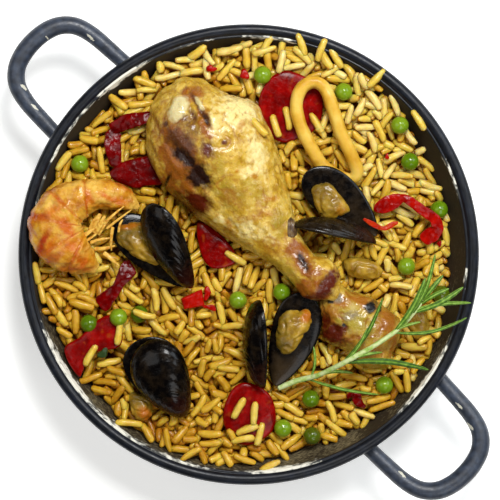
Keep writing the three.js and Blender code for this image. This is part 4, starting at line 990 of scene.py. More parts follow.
PEPPER_CUTS = {  # outline, height of the middle, half thickness, slopes
    "pepper_under_drumstick": [
        [(-64, 36), (-57, 42.6), (-43, 45.4), (-38, 44), (-39, 33), (-46, 31.4), (-53, 30.4)],
        35, 1.3, (0.03, 0)],
    "pepper_cube": [
        [(-31, -20.6), (-30.2, -19.6), (-22.2, -16), (-21.3, -16.3), (-20.2, -22.8), (-20.8, -23.6),
         (-29, -25), (-29.7, -24.4)],
        35.8, 1.9, (0.02, 0.06)],
}


def ribbon_section(angle):
    """A soft strip's section: flat, with thin edges that curl up."""
    c, s = math.cos(angle), math.sin(angle)
    u = math.copysign(abs(c) ** 0.7, c)
    return (u, math.copysign(abs(s) ** 0.7, s) * (1 - 0.35 * u * u) + 0.5 * u * u)


PEPPER_FRESH = {"pepper_curl_right": 0.56, "pepper_cube": 0.6, "pepper_sliver": 0.6}  # others 0.44
PEPPER_FLESH = {"pepper_sliver": 0.35}  # how much cut flesh its face shows


def pepper_pieces(material):
    """The strips and the cut pieces of red pepper."""
    made = []
    for node, keys in PEPPERS.items():
        rows = smooth_rows(keys, 6 * len(keys))
        made.append((node, skin(node + "_piece", path_rings(rows, 16, section=ribbon_section), levels=2)))
    for node, (outline, z, half, tilt) in PEPPER_CUTS.items():
        rings = pillow_rings(outline, z, half, half, count=40, rounds=6, tilt=tilt, plump=0.25)
        made.append((node, skin(node + "_piece", rings, levels=2)))
    for seed, (node, piece) in enumerate(made):
        crumple = 0.5 if node in PEPPERS else 0.26
        push(piece, lambda p, n: crumple * rough(p, 3.6, seed + 71) + 0.14 * rough(p, 1.6, seed + 72))
        places, normals = points_of(piece)
        edge = np.clip(1 - np.abs(normals[:, 2]) * 1.6, 0, 1)
        fresh = PEPPER_FRESH.get(node, 0.44)
        store(piece, "cut_edge", edge * fresh * 1.5 + PEPPER_FLESH.get(node, 0))
        store(piece, "fresh", np.full(len(places), fresh))
        serve(piece, material, "pepper", node)


PEPPER_BITS = [  # x, y, height, half length, half width, heading
    (-17.2, 84.7, 37.4, 2.4, 1.7, 20), (-1.8, 82, 37.6, 2.7, 1.9, -20), (87.4, 5, 30.4, 1.5, 1.1, 40),
    (63.2, 44.8, 34.4, 1.4, 1.1, 60), (-19, -17.6, 36.8, 2.9, 1.9, 75), (-17.6, -24.2, 36.4, 2.8, 1.5, -10),
]


def crumb(name, x, y, z, half_long, half_wide, heading, seed):
    """A small chopped bit of a vegetable."""
    cos, sin = math.cos(math.radians(heading)), math.sin(math.radians(heading))
    outline = []
    for k in range(12):
        turn = math.tau * k / 12
        ragged = 1 + 0.24 * math.sin(2 * turn + seed) + 0.2 * math.sin(3 * turn - seed)
        u, v = half_long * ragged * math.cos(turn), half_wide * ragged * math.sin(turn)
        outline.append((x + u * cos - v * sin, y + u * sin + v * cos))
    piece = skin(name, pillow_rings(outline, z, 0.7, 0.7, count=20, rounds=4, plump=0.25), levels=1)
    push(piece, lambda p, n: 0.35 * rough(p, 2.0, seed))
    return piece


def pepper_bits(material):
    """The chopped bits of pepper, as one piece."""
    bits = join([crumb("pepper_bits", *row, 110 + k) for k, row in enumerate(PEPPER_BITS)])
    places, normals = points_of(bits)
    store(bits, "cut_edge", np.clip(0.6 - np.abs(normals[:, 2]), 0, 1))
    store(bits, "fresh", np.full(len(places), 0.56))
    serve(bits, material, "pepper")


def pepper_material():
    # soft roast red pepper: shiny skin, orange where the cut flesh shows
    return surface("roast_red_pepper", ["#320000", "#500000", "#7A0000", "#A80A00", "#C41C02"], patch=5.0,
                   tone_attribute="fresh", roughness=(0.12, 0.34), marks=[("cut_edge", "#C04A0E", 1.6, 1.6)],
                   bumps=[(3.6, 0.4, "RIDGED_MULTIFRACTAL"), (0.8, 0.14)], coat=0.1, sheen=0.16)


PEAS = [  # x, y, freshness from dull olive to bright green
    (-77.1, 41.4, 1.0), (6.3, 81.8, 1.0), (43.3, 74.3, 1.0), (69, 59.1, 1.0), (-4.9, -20.9, 1.0),
    (-59.3, -28.6, 1.0), (72.2, -5.5, 1.0), (15, -17.2, 0.8), (62, -59.8, 0.9), (28.4, -66.1, 0.5),
    (15.6, -79.4, 0.9), (29, -83, 0.15), (-73, -31.6, 0.5), (73.8, 42.5, 0.6), (87.4, 20.6, 0.7),
    (88.2, -18.2, 0.2), (-50, -27.4, 0.4),
]
PEA_RADIUS = 4.15


def pea_pieces(material):
    """The peas, each as high as its node."""
    for number, (x, y, fresh) in enumerate(PEAS, 1):
        node = f"pea_{number:02d}"
        _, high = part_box(node)
        z = high.z / MM - PEA_RADIUS
        bm = bmesh.new()
        bmesh.ops.create_uvsphere(bm, u_segments=24, v_segments=16, radius=PEA_RADIUS,
                                  matrix=Matrix.Translation((x, y, z)))
        pea = to_object(f"green_pea_{number:02d}", bm, levels=1)
        seed = 80 + number
        push(pea, lambda p, n: (0.14 * rough(p, 5, seed)
                                - 0.1 * np.exp(-(rough(p, 3.5, seed + 0.5) * 6) ** 2)))
        places, _ = points_of(pea)
        store(pea, "fresh", np.full(len(places), 0.3 + 0.4 * fresh))
        serve(pea, material, "pea", node)


def pea_material():
    # garden pea: taut waxy skin, bright green where it was added last
    return surface("garden_pea", ["#4E500C", "#4E640A", "#5C8008", "#7C981A"], patch=3.0,
                   tone_attribute="fresh", roughness=(0.14, 0.24), flesh=0.2, flesh_depth=1.5,
                   bumps=[(1.5, 0.05)], coat=0.35)


ONION_MIDDLE = 45.6  # height of its middle plane
ONION_RISE = 3.2
ONION_OUTLINE = [
    (15.4, 12.6), (16.4, 15.8), (19, 17.2), (21.4, 14.5), (22, 10), (20.6, 6.4), (17.6, 5.8), (15.6, 8.6),
]


def onion_piece():
    """The bit of onion at the drumstick's edge."""
    rings = pillow_rings(ONION_OUTLINE, ONION_MIDDLE, ONION_RISE, ONION_RISE, count=24, rounds=4)
    onion = skin("onion_tip_piece", rings, levels=3)
    push(onion, lambda p, n: 0.2 * rough(p, 4, 91) + 0.08 * np.sin(p[:, 0] * 5))
    serve(onion, surface(
        # soft cooked onion: translucent brown with paler ribs
        "cooked_onion", ["#4A3420", "#6C5436", "#8C7652"], patch=3.0, roughness=(0.2, 0.32), flesh=0.4,
        flesh_depth=2.0, bumps=[(1.0, 0.08)], coat=0.3), "onion", "onion_tip")


# ---------------------------------------------------------------- rosemary

STEM_KEYS = [  # x, y, z, radius
    [13.5, -61, 36.2, 1.1], [14.5, -60.6, 36.4, 1.3], [21.5, -57.6, 38.4, 1.35], [28, -55.8, 41, 1.3],
    [33, -54, 44, 1.25], [44.8, -47.6, 50.4, 1.25], [60.2, -38.6, 51.4, 1.15], [69.4, -31.6, 50.4, 1.05],
    [75.4, -25, 49.6, 0.8], [79, -20, 49.2, 0.4],
]
NEEDLES = [  # share of the stem, offset of the tip, rise, half width, bow, how pale
    [0.34, (1, 14), 3, 0.8, -1.2, 0.7], [0.36, (18.5, 1.4), -4, 1, 1.6, 0.8],
    [0.3, (33, -7.6), -4, 0.9, -1.2, 0.6], [0.53, (18.6, 30), 3, 1.1, -2.4, 0.3],
    [0.54, (10.4, 15.6), 2, 0.9, -1.2, 0.7], [0.55, (16, 4), 0.5, 0.9, 1, 0.8],
    [0.54, (38.4, -3.4), -3, 1.6, 2.2, 0.2], [0.72, (14, 24.6), 3, 1.5, -1.6, 0.5],
    [0.74, (10.4, 3.6), 2.4, 0.8, 0.6, 1.0], [0.72, (33.4, 6.6), -5, 1, -3, 0.5],
    [0.84, (10.6, 28), 3, 1.1, -1.6, 0.6], [0.88, (3.6, 13.4), 2, 0.9, -0.8, 0.7],
    [0.87, (22, 11.4), 0, 1.5, -1.4, 0.5], [0.9, (24.4, 2.6), -1, 1.1, 1, 0.7],
    [0.94, (12.6, 7), 1.6, 1.2, 0.6, 0.6], [0.97, (9.2, 11.6), 0.4, 1.3, 0.4, 0.5],
]


def needle_section(angle):
    """A needle's section: rolled-back edges and a groove along the top."""
    u, v = math.cos(angle), math.sin(angle)
    groove = 0.75 * math.exp(-(u / 0.26) ** 2) if v > 0 else 0.0
    return (u, v * (1 - groove) - 0.35 * u * u)


NEEDLE_TAPER = [  # share of its length, share of its full width
    (0, 0.45), (0.08, 0.6), (0.3, 0.95), (0.55, 1), (0.85, 0.75), (0.97, 0.4), (1, 0.1)]
HERB_BIT = (-66.3, -44.9, 37.6, 2.6, 2.2, 30)  # x, y, height, half length, half width, heading


def needle_part(start, dx, dy, rise, half, bow, pale):
    """One bowed needle, from its place on the stem."""
    reach = math.hypot(dx, dy)
    rows = []
    for t, fat in NEEDLE_TAPER:
        side = bow * math.sin(math.pi * t)
        z = start[2] + rise * t + 1.2 * math.sin(math.pi * t)
        rows.append([start[0] + dx * t - dy / reach * side, start[1] + dy * t + dx / reach * side, z,
                     0.88 * half * fat, 0.7 * max(fat, 0.3)])
    rows = smooth_rows(rows, 22)
    needle = skin("needle", path_rings(rows, 16, section=needle_section), levels=1)
    places, normals = points_of(needle)
    middle = smooth_rows(rows, 300)
    gap = ((places[:, None, :2] - middle[None, :, :2]) ** 2).sum(axis=2)
    across = np.sqrt(gap.min(axis=1)) / np.maximum(middle[np.argmin(gap, axis=1), 3], 0.2)
    lined = 0.7 * np.exp(-(across / 0.24) ** 2) + np.clip(across * 4 - 3.0, 0, 1)  # paler groove and edges
    store(needle, "pale", np.clip(0.33 + pale * 0.16 + 0.22 * lined + 0.4 * (normals[:, 2] < -0.3), 0, 1))
    return needle


def rosemary_piece():
    """The sprig, and a bit of herb that lies apart from it."""
    keys = [[*row, row[3]] for row in STEM_KEYS]
    stem = skin("rosemary_sprig_piece", path_rings(smooth_rows(keys, 48), 10), levels=1)
    push(stem, lambda p, n: 0.12 * rough(p, 3, 101))
    places, _ = points_of(stem)
    store(stem, "pale", 0.66 + 0.12 * rough(places * (0.3, 0.6, 1), 1.2, 102))
    line = smooth_rows([row[:3] for row in STEM_KEYS], 101)
    needles = [needle_part(line[int(share * 100)], *tip, *rest) for share, tip, *rest in NEEDLES]
    serve(join([stem] + needles), surface(
        # fresh rosemary: matt dark green blades with pale undersides, on a pale green woody stem
        "fresh_rosemary", ["#22380C", "#3C5E12", "#688F28", "#9AB855", "#C8D496"], patch=1.6,
        tone_attribute="pale", roughness=(0.3, 0.5), flesh=0.04, flesh_depth=0.6, bumps=[(0.8, 0.1)]),
        "herb", "rosemary_sprig")
    leaf = crumb("herb_bit", *HERB_BIT, 120)
    places, _ = points_of(leaf)
    store(leaf, "pale", np.clip(0.05 + 0.2 * rough(places, 1.6, 121), 0, 1))
    serve(leaf, stem.data.materials[0], "herb")


# ---------------------------------------------------------------- rice

CELL = 0.5  # mm between the height map's points
REACH = 106.0  # half the map's width
EDGE_TOPS = [  # height of the heaped grains at the wall, every 15 degrees from +X
    27.5, 29, 28, 34, 38.5, 38.5, 37.5, 36, 34.5, 32.5, 36, 37, 37.5, 37, 31, 33, 36, 37, 35, 30, 30,
    32.5, 34, 29,
]
HOLLOWS = [  # pressed in by the heavy pieces: x, y, radius, depth
    (-17, 48, 34, 9), (4, 18, 22, 3), (-45, 5, 26, 3), (42, 22, 26, 3), (17, -40, 24, 3.5),
    (-37, -60, 20, 3), (50, -34, 26, 4), (-84, 12, 20, 2),
]
GRAIN_SIDES = 8
GRAIN_RINGS = [  # place along a grain and its radius, both as shares of the half size
    (-1.0, 0.34), (-0.955, 0.62), (-0.84, 0.83), (-0.5, 0.97), (0, 1.0), (0.5, 0.96), (0.84, 0.8),
    (0.955, 0.58), (1.0, 0.3),
]
HEAP_CURVE = 3.4  # how late the heap turns down towards the wall


def bed_top(x, y, sizes, pan):
    """Height to which the grains are heaped."""
    turn = (np.degrees(np.arctan2(y, x)) % 360) / (360 / len(EDGE_TOPS))
    low = turn.astype(int)
    blend = (1 - np.cos((turn - low) * np.pi)) / 2
    edges = np.array(EDGE_TOPS)
    edge = edges[low % len(edges)] * (1 - blend) + edges[(low + 1) % len(edges)] * blend
    reach = np.clip(np.hypot(x, y) / wall_radius(edge, pan), 0, 1)
    z = sizes.crown + (edge - sizes.crown) * reach ** HEAP_CURVE
    z = z + 0.7 * np.sin(x / 8.5 + 1) * np.cos(y / 10) * (1 - reach ** 4)
    for hx, hy, radius, depth in HOLLOWS:
        d = np.clip(np.hypot(x - hx, y - hy) / radius, 0, 1)
        z = z - depth * (1 - d * d) ** 2 * (1 - reach ** 8)
    return z


def pan_ground(r, pan):
    """Height of the pan's own surface where something may rest on it: wall, lip and bead."""
    wall = pan.wall_foot_z + (r - pan.wall_foot_radius) * (pan.wall_top_z - pan.wall_foot_z) / (
        pan.wall_top_radius - pan.wall_foot_radius)
    off = (r - (pan.rim_radius - pan.bead_radius)) / pan.bead_radius
    bead = pan.height - pan.bead_radius + pan.bead_radius * np.sqrt(np.clip(1 - off * off, 0, 1))
    return np.where(r < pan.wall_top_radius, wall, np.where(off > -1, bead, pan.wall_top_z))


def ray_map(objects, from_below=False):
    """Height in mm of the first surface met from above or from below, at each point of the map."""
    count = int(2 * REACH)
    heights = np.full((count, count), np.inf if from_below else -np.inf)
    graph = bpy.context.evaluated_depsgraph_get()
    direction = Vector((0, 0, 1 if from_below else -1))
    for obj in objects:
        tree = BVHTree.FromObject(obj, graph)
        corners = np.array(obj.bound_box) / MM
        low, high = corners.min(axis=0), corners.max(axis=0)
        for i in range(max(int(low[0] + REACH), 0), min(int(high[0] + REACH) + 1, count)):
            for j in range(max(int(low[1] + REACH), 0), min(int(high[1] + REACH) + 1, count)):
                start = Vector((i + 0.5 - REACH, j + 0.5 - REACH, -20 if from_below else 90)) * MM
                hit = tree.ray_cast(start, direction)[0]
                if hit is not None:
                    z = hit.z / MM
                    heights[i, j] = min(heights[i, j], z) if from_below else max(heights[i, j], z)
    return heights.repeat(int(1 / CELL), axis=0).repeat(int(1 / CELL), axis=1)


def map_at(grid, x, y):
    """The map's values at these places."""
    i = np.clip(((x + REACH) / CELL).astype(int), 0, grid.shape[0] - 1)
    j = np.clip(((y + REACH) / CELL).astype(int), 0, grid.shape[1] - 1)
    return grid[i, j]


GRAIN_BLUNT = 3.5  # power of the grain's outline along it
STEEPEST = 1.4  # the steepest slope at which a grain rests
CLEARANCE = 0.6  # how far a grain may press into a topping
WHOLE_GRAINS = [0.66, 0.86, 0.94, 1.0, 1.0, 1.05, 1.1, 1.16]  # lengths, as shares of the usual one
BROKEN_GRAINS = [0.5, 0.62, 0.76]  # these go where no whole one fitted
SHALLOWEST = 0.8  # a gap that a grain is still dropped into
SHARE_STRAY = 0.42  # of the grains that lie at odds with those around them
LOOKS = 16  # places of which the lowest is filled
TURNS = 5  # ways in which each grain is tried
SPARED = 0.6  # how much less a place is filled each time that a grain doesn't fit there
CORE_LUMPS = 0.9  # mm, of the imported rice
HEAP_LUMPS = 1.3  # mm, of the grains over it
RIM_GAP = 1.5  # between the lip and the middles of the outermost grains
ON_TOP_RISE = 1.2  # of a grain's middle above what it lies on


class GrainBed:
    """Lays grains one by one on a height map, lowest places first, clear of the toppings."""

    def __init__(self, seed, target, ground, under, over):
        self.random = np.random.default_rng(seed)
        self.target = target
        self.height = ground.copy()
        self.under = under
        self.over = over
        self.laid = []

    def rest(self, x, y, turn, length, width, lean, sink):
        """Where grains dropped here, one for each turn, come to rest: heights, slopes and tops."""
        # the grain is felt at seven places along it by three across it
        u = np.repeat(np.linspace(-0.46, 0.46, 7), 3) * length * 0.92
        v = np.tile(np.array([-0.34, 0, 0.34]), 7) * width
        cos, sin = np.cos(turn)[:, None], np.sin(turn)[:, None]
        px = x[:, None] + u * cos - v * sin
        py = y[:, None] + u * sin + v * cos
        inside = 1 - np.abs(2 * u / length) ** GRAIN_BLUNT - (2 * v / width) ** 2
        half = 0.5 * width * np.sqrt(np.clip(inside, 0.02, 1))
        ground = map_at(self.height, px, py)
        # its ends rest on the three highest places under each
        head, tail = (np.sort(ground[:, end * u > 0.2 * length])[:, -3:].mean(axis=1) for end in (1, -1))
        slope = np.clip((head - tail) / (0.7 * length) + lean, -STEEPEST, STEEPEST)
        z = np.max(ground + half - slope[:, None] * u, axis=1) - sink
        top = z[:, None] + slope[:, None] * u + half
        low = top - 2 * half
        under, over = map_at(self.under, px, py), map_at(self.over, px, py)
        struck = ((top > under + CLEARANCE) & (low < over - CLEARANCE)).any(axis=1)
        blocked = struck | np.isfinite(under).all(axis=1)
        return np.where(blocked, np.inf, z), slope, top.max(axis=1)

    def place(self, x, y, z, slope, turn, length, width):
        """Lays a grain and raises the map under it."""
        self.laid.append([x, y, z, slope, turn, length, width])
        span = length * 0.5
        i, j = np.mgrid[int((x - span + REACH) / CELL):int((x + span + REACH) / CELL) + 1,
                        int((y - span + REACH) / CELL):int((y + span + REACH) / CELL) + 1]
        i, j = (np.clip(k, 0, self.height.shape[0] - 1) for k in (i, j))
        dx, dy = (i + 0.5) * CELL - REACH - x, (j + 0.5) * CELL - REACH - y
        stretch = math.hypot(1, slope)
        u = (dx * math.cos(turn) + dy * math.sin(turn)) * stretch
        v = dy * math.cos(turn) - dx * math.sin(turn)
        inside = 1 - np.abs(2 * u / length) ** GRAIN_BLUNT - (2 * v / width) ** 2
        top = z + slope * u / stretch + 0.5 * width * np.sqrt(np.clip(inside, 0, 1))
        self.height[i, j] = np.where(inside > 0, np.maximum(self.height[i, j], top), self.height[i, j])

    def fill(self, sizes, spread):
        """Drops grains where the bed is lowest, until it is full or they run out."""
        count = int(2 * REACH)
        x, y = (np.mgrid[0:count, 0:count] + 0.5) - REACH
        wanted = (np.hypot(x, y) < spread)
        x, y = x[wanted], y[wanted]
        spare = np.zeros(len(x))  # what is taken off a gap where a grain failed to fit
        for _ in range(sizes.tries):
            if len(self.laid) >= sizes.grains:
                break
            some = self.random.integers(0, len(x), LOOKS)
            gaps = map_at(self.target, x[some], y[some]) - map_at(self.height, x[some], y[some])
            gaps = gaps - spare[some]
            pick = some[np.argmax(gaps)]
            if gaps.max() < SHALLOWEST:
                continue
            lengths = WHOLE_GRAINS if spare[pick] < 1 else BROKEN_GRAINS
            length = sizes.grain_length * self.random.choice(lengths)
            width = sizes.grain_width * self.random.uniform(0.86, 1.14)
            turn = self.random.uniform(0, math.pi, TURNS)
            px = x[pick] + self.random.uniform(-2, 2, TURNS)
            py = y[pick] + self.random.uniform(-2, 2, TURNS)
            lean = self.random.normal(0, 0.34, TURNS)
            lean = lean + (self.random.random() < SHARE_STRAY) * self.random.uniform(-1.3, 1.3)
            z, slope, top = self.rest(px, py, turn, length, width, lean, sizes.sink)
            best = int(np.argmin(z + self.random.normal(0, 0.3, TURNS)))
            limit = map_at(self.target, px[best:best + 1], py[best:best + 1])[0]
            limit = limit + self.random.uniform(0.2, 3.2)  # some stand proud of the others
            if not np.isfinite(z[best]) or top[best] > limit:
                spare[np.hypot(x - x[pick], y - y[pick]) < 1.0] += SPARED
                continue
            self.place(px[best], py[best], z[best], slope[best], turn[best], length, width)


def grain_shape():
    """One grain, 2 long and 2 wide, along x: its places and its triangles."""
    bm = bmesh.new()
    loops = []
    for x, r in GRAIN_RINGS:
        matrix = Matrix.Translation((x, 0, 0)) @ Matrix.Rotation(math.pi / 2, 4, "Y")
        made = bmesh.ops.create_circle(bm, segments=GRAIN_SIDES, radius=r, matrix=matrix)["verts"]
        loops.append(edges_of(made))
    bridge(bm, loops)
    bmesh.ops.triangulate(bm, faces=bm.faces)
    bm.verts.index_update()
    places = np.array([vert.co for vert in bm.verts])
    faces = np.array([[vert.index for vert in face.verts] for face in bm.faces])
    bm.free()
    return places, faces


def grains_piece(name, laid, tint, soaked_and_shaded, random, finish):
    """All the grains of a list as one piece: each bent, tapered and turned its own way."""
    base, faces = grain_shape()
    x, y, z, slope, turn, length, width = (column[:, None] for column in np.array(laid).T)
    count = len(laid)

    def each(low, high):
        return random.uniform(low, high, count)[:, None]

    along = base[None, :, 0]
    girth = 0.5 * width * (1 + each(-0.14, 0.14) * along)
    girth = girth * (1 + 0.05 * np.sin(along * each(2, 6) + each(0, 6)))
    dents = random.normal(0, 0.028, (count, len(base), 3)) * width[:, :, None]
    px = along * 0.5 * length + dents[:, :, 0]
    py = base[None, :, 1] * girth + each(-0.2, 0.2) * (1 - along ** 2) * width + dents[:, :, 1]
    pz = base[None, :, 2] * girth * each(0.76, 0.96) + dents[:, :, 2]
    pitch = np.arctan(slope)
    qx = px * np.cos(pitch) - pz * np.sin(pitch)
    qz = px * np.sin(pitch) + pz * np.cos(pitch)
    world = np.stack([x + qx * np.cos(turn) - py * np.sin(turn),
                      y + qx * np.sin(turn) + py * np.cos(turn), z + qz], axis=2)
    mesh = bpy.data.meshes.new(name)
    triangles = (faces[None] + (np.arange(count) * len(base))[:, None, None]).reshape(-1, 3)
    mesh.from_pydata(world.reshape(-1, 3).tolist(), [], triangles.tolist())
    piece = bpy.data.objects.new(name, mesh)
    bpy.context.scene.collection.objects.link(piece)
    mesh.shade_smooth()
    store(piece, "tint", np.repeat(tint, len(base)))
    flank = 0.5 - 0.5 * base[None, :, 2] / base[:, 2].max()  # painted shade: the lower half of each grain is painted darker, as if in shade
    store(piece, "soaked_and_shaded", np.clip(0.7 * soaked_and_shaded[:, None] + 2.2 * flank ** 1.5, 0, 1).ravel())
    serve(piece, finish, "rice")


def rice_material():
    # parboiled rice cooked in saffron broth: moist, slightly see-through; deeper orange-yellow lower down,
    # partly soaking, partly painted shade
    return surface("saffron_rice", ["#B07A12", "#C89C20", "#D8B236", "#E0C450", "#EAD480"], patch=4.0,
                   tone_attribute="tint", roughness=(0.28, 0.46), flesh=0.8, flesh_depth=2.4,
                   marks=[("soaked_and_shaded", "#A4620C", 0.9, 3.0)], bumps=[(1.6, 0.2), (0.7, 0.07)], coat=0.2)


def bed_material():
    # the imported rice beneath: painted shade, dark orange-brown where it shows between the grains
    return surface("rice_in_painted_shade", ["#7A3404", "#964C06", "#AE6410"], patch=3.0, roughness=(0.25, 0.5),
                   flesh=0.3, flesh_depth=1.2, bumps=[(2.6, 0.7), (1.0, 0.2)])


ON_TOP = [  # grains lying on toppings and over the rim: x, y, heading, slope
    (4.6, 57.6, -48, 0.1), (12.4, 58.6, -72, 0.1), (31, 60, -58, 0.0), (17.6, 62, -80, 0.0),
    (-6, -1.6, 150, 0.0), (-4.6, -70, 60, 0.0), (2.6, -72.4, 85, 0.0), (-0.6, -80, 20, 0.1),
    (5, -82, 75, 0.0), (-2.6, -84.6, 10, 0.0), (-59.3, -35.8, 82, 0.0), (-72, -46, 60, 0.0),
    (-47.4, -27, -15, 0.0), (-42.9, -20.6, -82, 0.0), (-55.2, -34.5, -80, 0.0), (-41.5, -33, -45, 0.0),
    (57.9, 80.2, 47, 0.0), (77.3, 61, -58, 0.0), (33, 93, 70, 0.1), (24, 95.5, 110, 0.1),
    (15.5, 95.6, 80, 0.1), (40, 89.6, 120, 0.0), (8, 95, 60, 0.1), (-70, 0.5, -62, 0.0),
    (-68.8, -6.4, 12, 0.0), (9.6, -97, 30, 0.0),
]


def lumps(count):
    """Smooth lumps of a few grains' size over the map, worked out at every other point."""
    x, y = (np.mgrid[0:count // 2, 0:count // 2] + 0.5) * CELL * 2 - REACH
    values = rough(np.stack([x.ravel(), y.ravel(), x.ravel() * 0], axis=1), 9, 121)
    return values.reshape(x.shape).repeat(2, axis=0).repeat(2, axis=1)


def grain_shades(laid, depth, random):
    """How pale each grain is, and how far broth and painted shade darken it."""
    # painted shade: the deeper a grain lies, the darker it is painted
    pale = random.normal(0.5, 0.07, len(laid)) - 0.02 * (depth - 1.5) + 0.05 * rough(laid[:, :3], 30, 122)
    pale = pale + 0.0008 * (laid[:, 0] + laid[:, 1])  # painted light: a little paler towards the far right, where the key lamp stands
    # partly broth soaking, partly painted shade: deeper grains are darkened more
    soaked_and_shaded = (depth - 2.8) / 4.4 + random.normal(0, 0.1, len(laid))
    return np.clip(pale, 0.22, 0.88), np.clip(soaked_and_shaded, 0, 1)


def rice_pieces(sizes, pan):
    """Packs the core, lays the grains on it and sorts them into pieces."""
    toppings = [o for o in bpy.data.objects if o.type == "MESH" and "topping" in o]
    over, under = ray_map(toppings), ray_map(toppings, from_below=True)
    count = int(2 * REACH / CELL)
    x, y = (np.mgrid[0:count, 0:count] + 0.5) * CELL - REACH
    target = bed_top(x, y, sizes, pan)
    lumpy = lumps(count)
    core = target - sizes.bed_depth + CORE_LUMPS * lumpy
    ground = np.maximum(core, pan_ground(np.hypot(x, y), pan))
    bed = GrainBed(sizes.seed, target + HEAP_LUMPS * lumpy, ground, under, over)
    bed.fill(sizes, pan.wall_top_radius - RIM_GAP)
    random = np.random.default_rng(sizes.seed + 1)
    laid = np.array(bed.laid)
    depth = map_at(target, laid[:, 0], laid[:, 1]) - laid[:, 2]
    tint, soaked_and_shaded = grain_shades(laid, depth, random)
    finish = rice_material()
    # the deeper half of the grains, which are painted darker as if shaded
    high = depth < np.median(depth)
    grains_piece("rice_grains", laid[high], tint[high], soaked_and_shaded[high], random, finish)
    grains_piece("broth_soaked_grains", laid[~high], tint[~high], soaked_and_shaded[~high], random, finish)
    tops = np.maximum(np.where(np.isfinite(over), over, 0), bed.height)
    extra = []
    for gx, gy, heading, slope in ON_TOP:
        z = map_at(tops, np.array([gx]), np.array([gy]))[0] + ON_TOP_RISE
        extra.append([gx, gy, z, slope, math.radians(heading), sizes.grain_length, sizes.grain_width])
    grains_piece("rice_grains_on_top", extra, np.full(len(extra), 0.6), np.zeros(len(extra)), random, finish)
    core_piece(core, pan)


CORE_SIDES = 160
CORE_FLOOR = [(4.0, 1.9), (77.0, 1.9), (82.4, 6.2)]  # radius and height of its underside
CORE_RADIUS = 96
CORE_GAP = 0.7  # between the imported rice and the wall


def core_piece(ground, pan):
    """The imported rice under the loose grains, down to the pan's floor."""
    turns = [math.tau * (k + 0.5) / CORE_SIDES for k in range(CORE_SIDES)]
    rings = []
    for radius, z in CORE_FLOOR:
        rings.append([Vector((radius * math.cos(t), radius * math.sin(t), z)) for t in turns])
    for share in (1.0, 0.97, *np.linspace(0.94, 0.06, 34)):
        ring = []
        for t in turns:
            reach = CORE_RADIUS * share
            i, j = (int((c * reach + REACH) / CELL) for c in (math.cos(t), math.sin(t)))
            z = ground[i, j]
            reach = min(reach, wall_radius(z, pan) - CORE_GAP)
            ring.append(Vector((reach * math.cos(t), reach * math.sin(t), z)))
        rings.append(ring)
    serve(skin("rice_bed", rings, levels=0), bed_material(), "rice", "rice")


# ---------------------------------------------------------------- sizes that a user may change

class PaellaPan(bpy.types.PropertyGroup):
    """Sizes of the pan, in millimetres."""
    rim_radius: FloatProperty(name="Rim radius", description="Outside of the rolled rim", default=105.0)
    height: FloatProperty(name="Height", description="From the table to the top of the rim", default=40.0)
    sheet: FloatProperty(name="Sheet", description="Thickness of the wall with its enamel", default=1.5)
    bead_radius: FloatProperty(name="Bead radius", description="Radius of the rolled rim", default=2.6)
    rod_radius: FloatProperty(name="Rod radius", description="Of the handles at the wall", default=3.65)
    wall_foot_radius: FloatProperty(name="Wall foot radius", description="Inside, above the bend",
                                    default=83.5)
    wall_foot_z: FloatProperty(name="Wall foot height", description="Where the wall starts", default=5.0)
    wall_top_radius: FloatProperty(name="Wall top radius", description="Inside, at the lip", default=98.9)
    wall_top_z: FloatProperty(name="Wall top height", description="Where the wall ends", default=38.2)


class PaellaRice(bpy.types.PropertyGroup):
    """Sizes and number of the grains, in millimetres."""
    grain_length: FloatProperty(name="Grain length", description="Length of a cooked grain", default=10.8)
    grain_width: FloatProperty(name="Grain width", description="Width of a cooked grain", default=3.55)
    crown: FloatProperty(name="Crown", description="Height of the grains at the middle", default=34.0)
    bed_depth: FloatProperty(name="Bed depth", description="Depth of the loose grains", default=7.6)
    sink: FloatProperty(name="Sink", description="How far soft grains press into each other", default=1.35)
    grains: IntProperty(name="Grains", description="The most grains that are laid", default=2700)
    tries: IntProperty(name="Tries", description="How many grains are dropped", default=26000)
    seed: IntProperty(name="Seed", description="Another seed lays the grains another way", default=5)


class PaellaStage(bpy.types.PropertyGroup):
    """Camera and light."""
    camera_height: FloatProperty(name="Camera height", description="Above the table", default=1.04,
                                 unit="LENGTH")
    frame_width: FloatProperty(name="Frame width", description="Seen at the rim", default=0.2273,
                               unit="LENGTH")
    key_power: FloatProperty(name="Key light", description="Power of the large lamp", default=8.3,
                             unit="POWER")
    floor_colour: StringProperty(name="Floor", description="Colour of the floor, as hex", default="#F4F4F2")


# ---------------------------------------------------------------- operators

HANDLES = [  # piece, node, heading, how much further out its grip lies
    ("handle_rod_far", "handle_far", 135.5, 0.0), ("handle_rod_near", "handle_near", 314.3, 2.3)]


class PAELLA_OT_pan(bpy.types.Operator):
    """Builds the enamelled pan and its two rod handles"""
    bl_idname = "paella.pan"
    bl_label = "Pan and handles"

    def execute(self, context):
        sizes = context.scene.paella_pan
        pan_piece(sizes)
        enamel = rod_material()
        for row in HANDLES:
            handle_piece(*row, sizes, enamel)
        return {"FINISHED"}


class PAELLA_OT_chicken(bpy.types.Operator):
    """Builds the drumstick and the thigh"""
    bl_idname = "paella.chicken"
    bl_label = "Chicken"

    def execute(self, context):
        drumstick_piece()
        thigh_piece()
        return {"FINISHED"}


class PAELLA_OT_seafood(bpy.types.Operator):
    """Builds the prawn, the squid ring and the mussels"""
    bl_idname = "paella.seafood"
    bl_label = "Prawn, squid and mussels"

    def execute(self, context):
        prawn_piece()
        squid_piece()
        shell = shell_material()
        for node in VALVES:
            valve_piece(node, shell)
        flesh = meat_material()
        for node in MEATS:
            meat_piece(node, flesh)
        return {"FINISHED"}


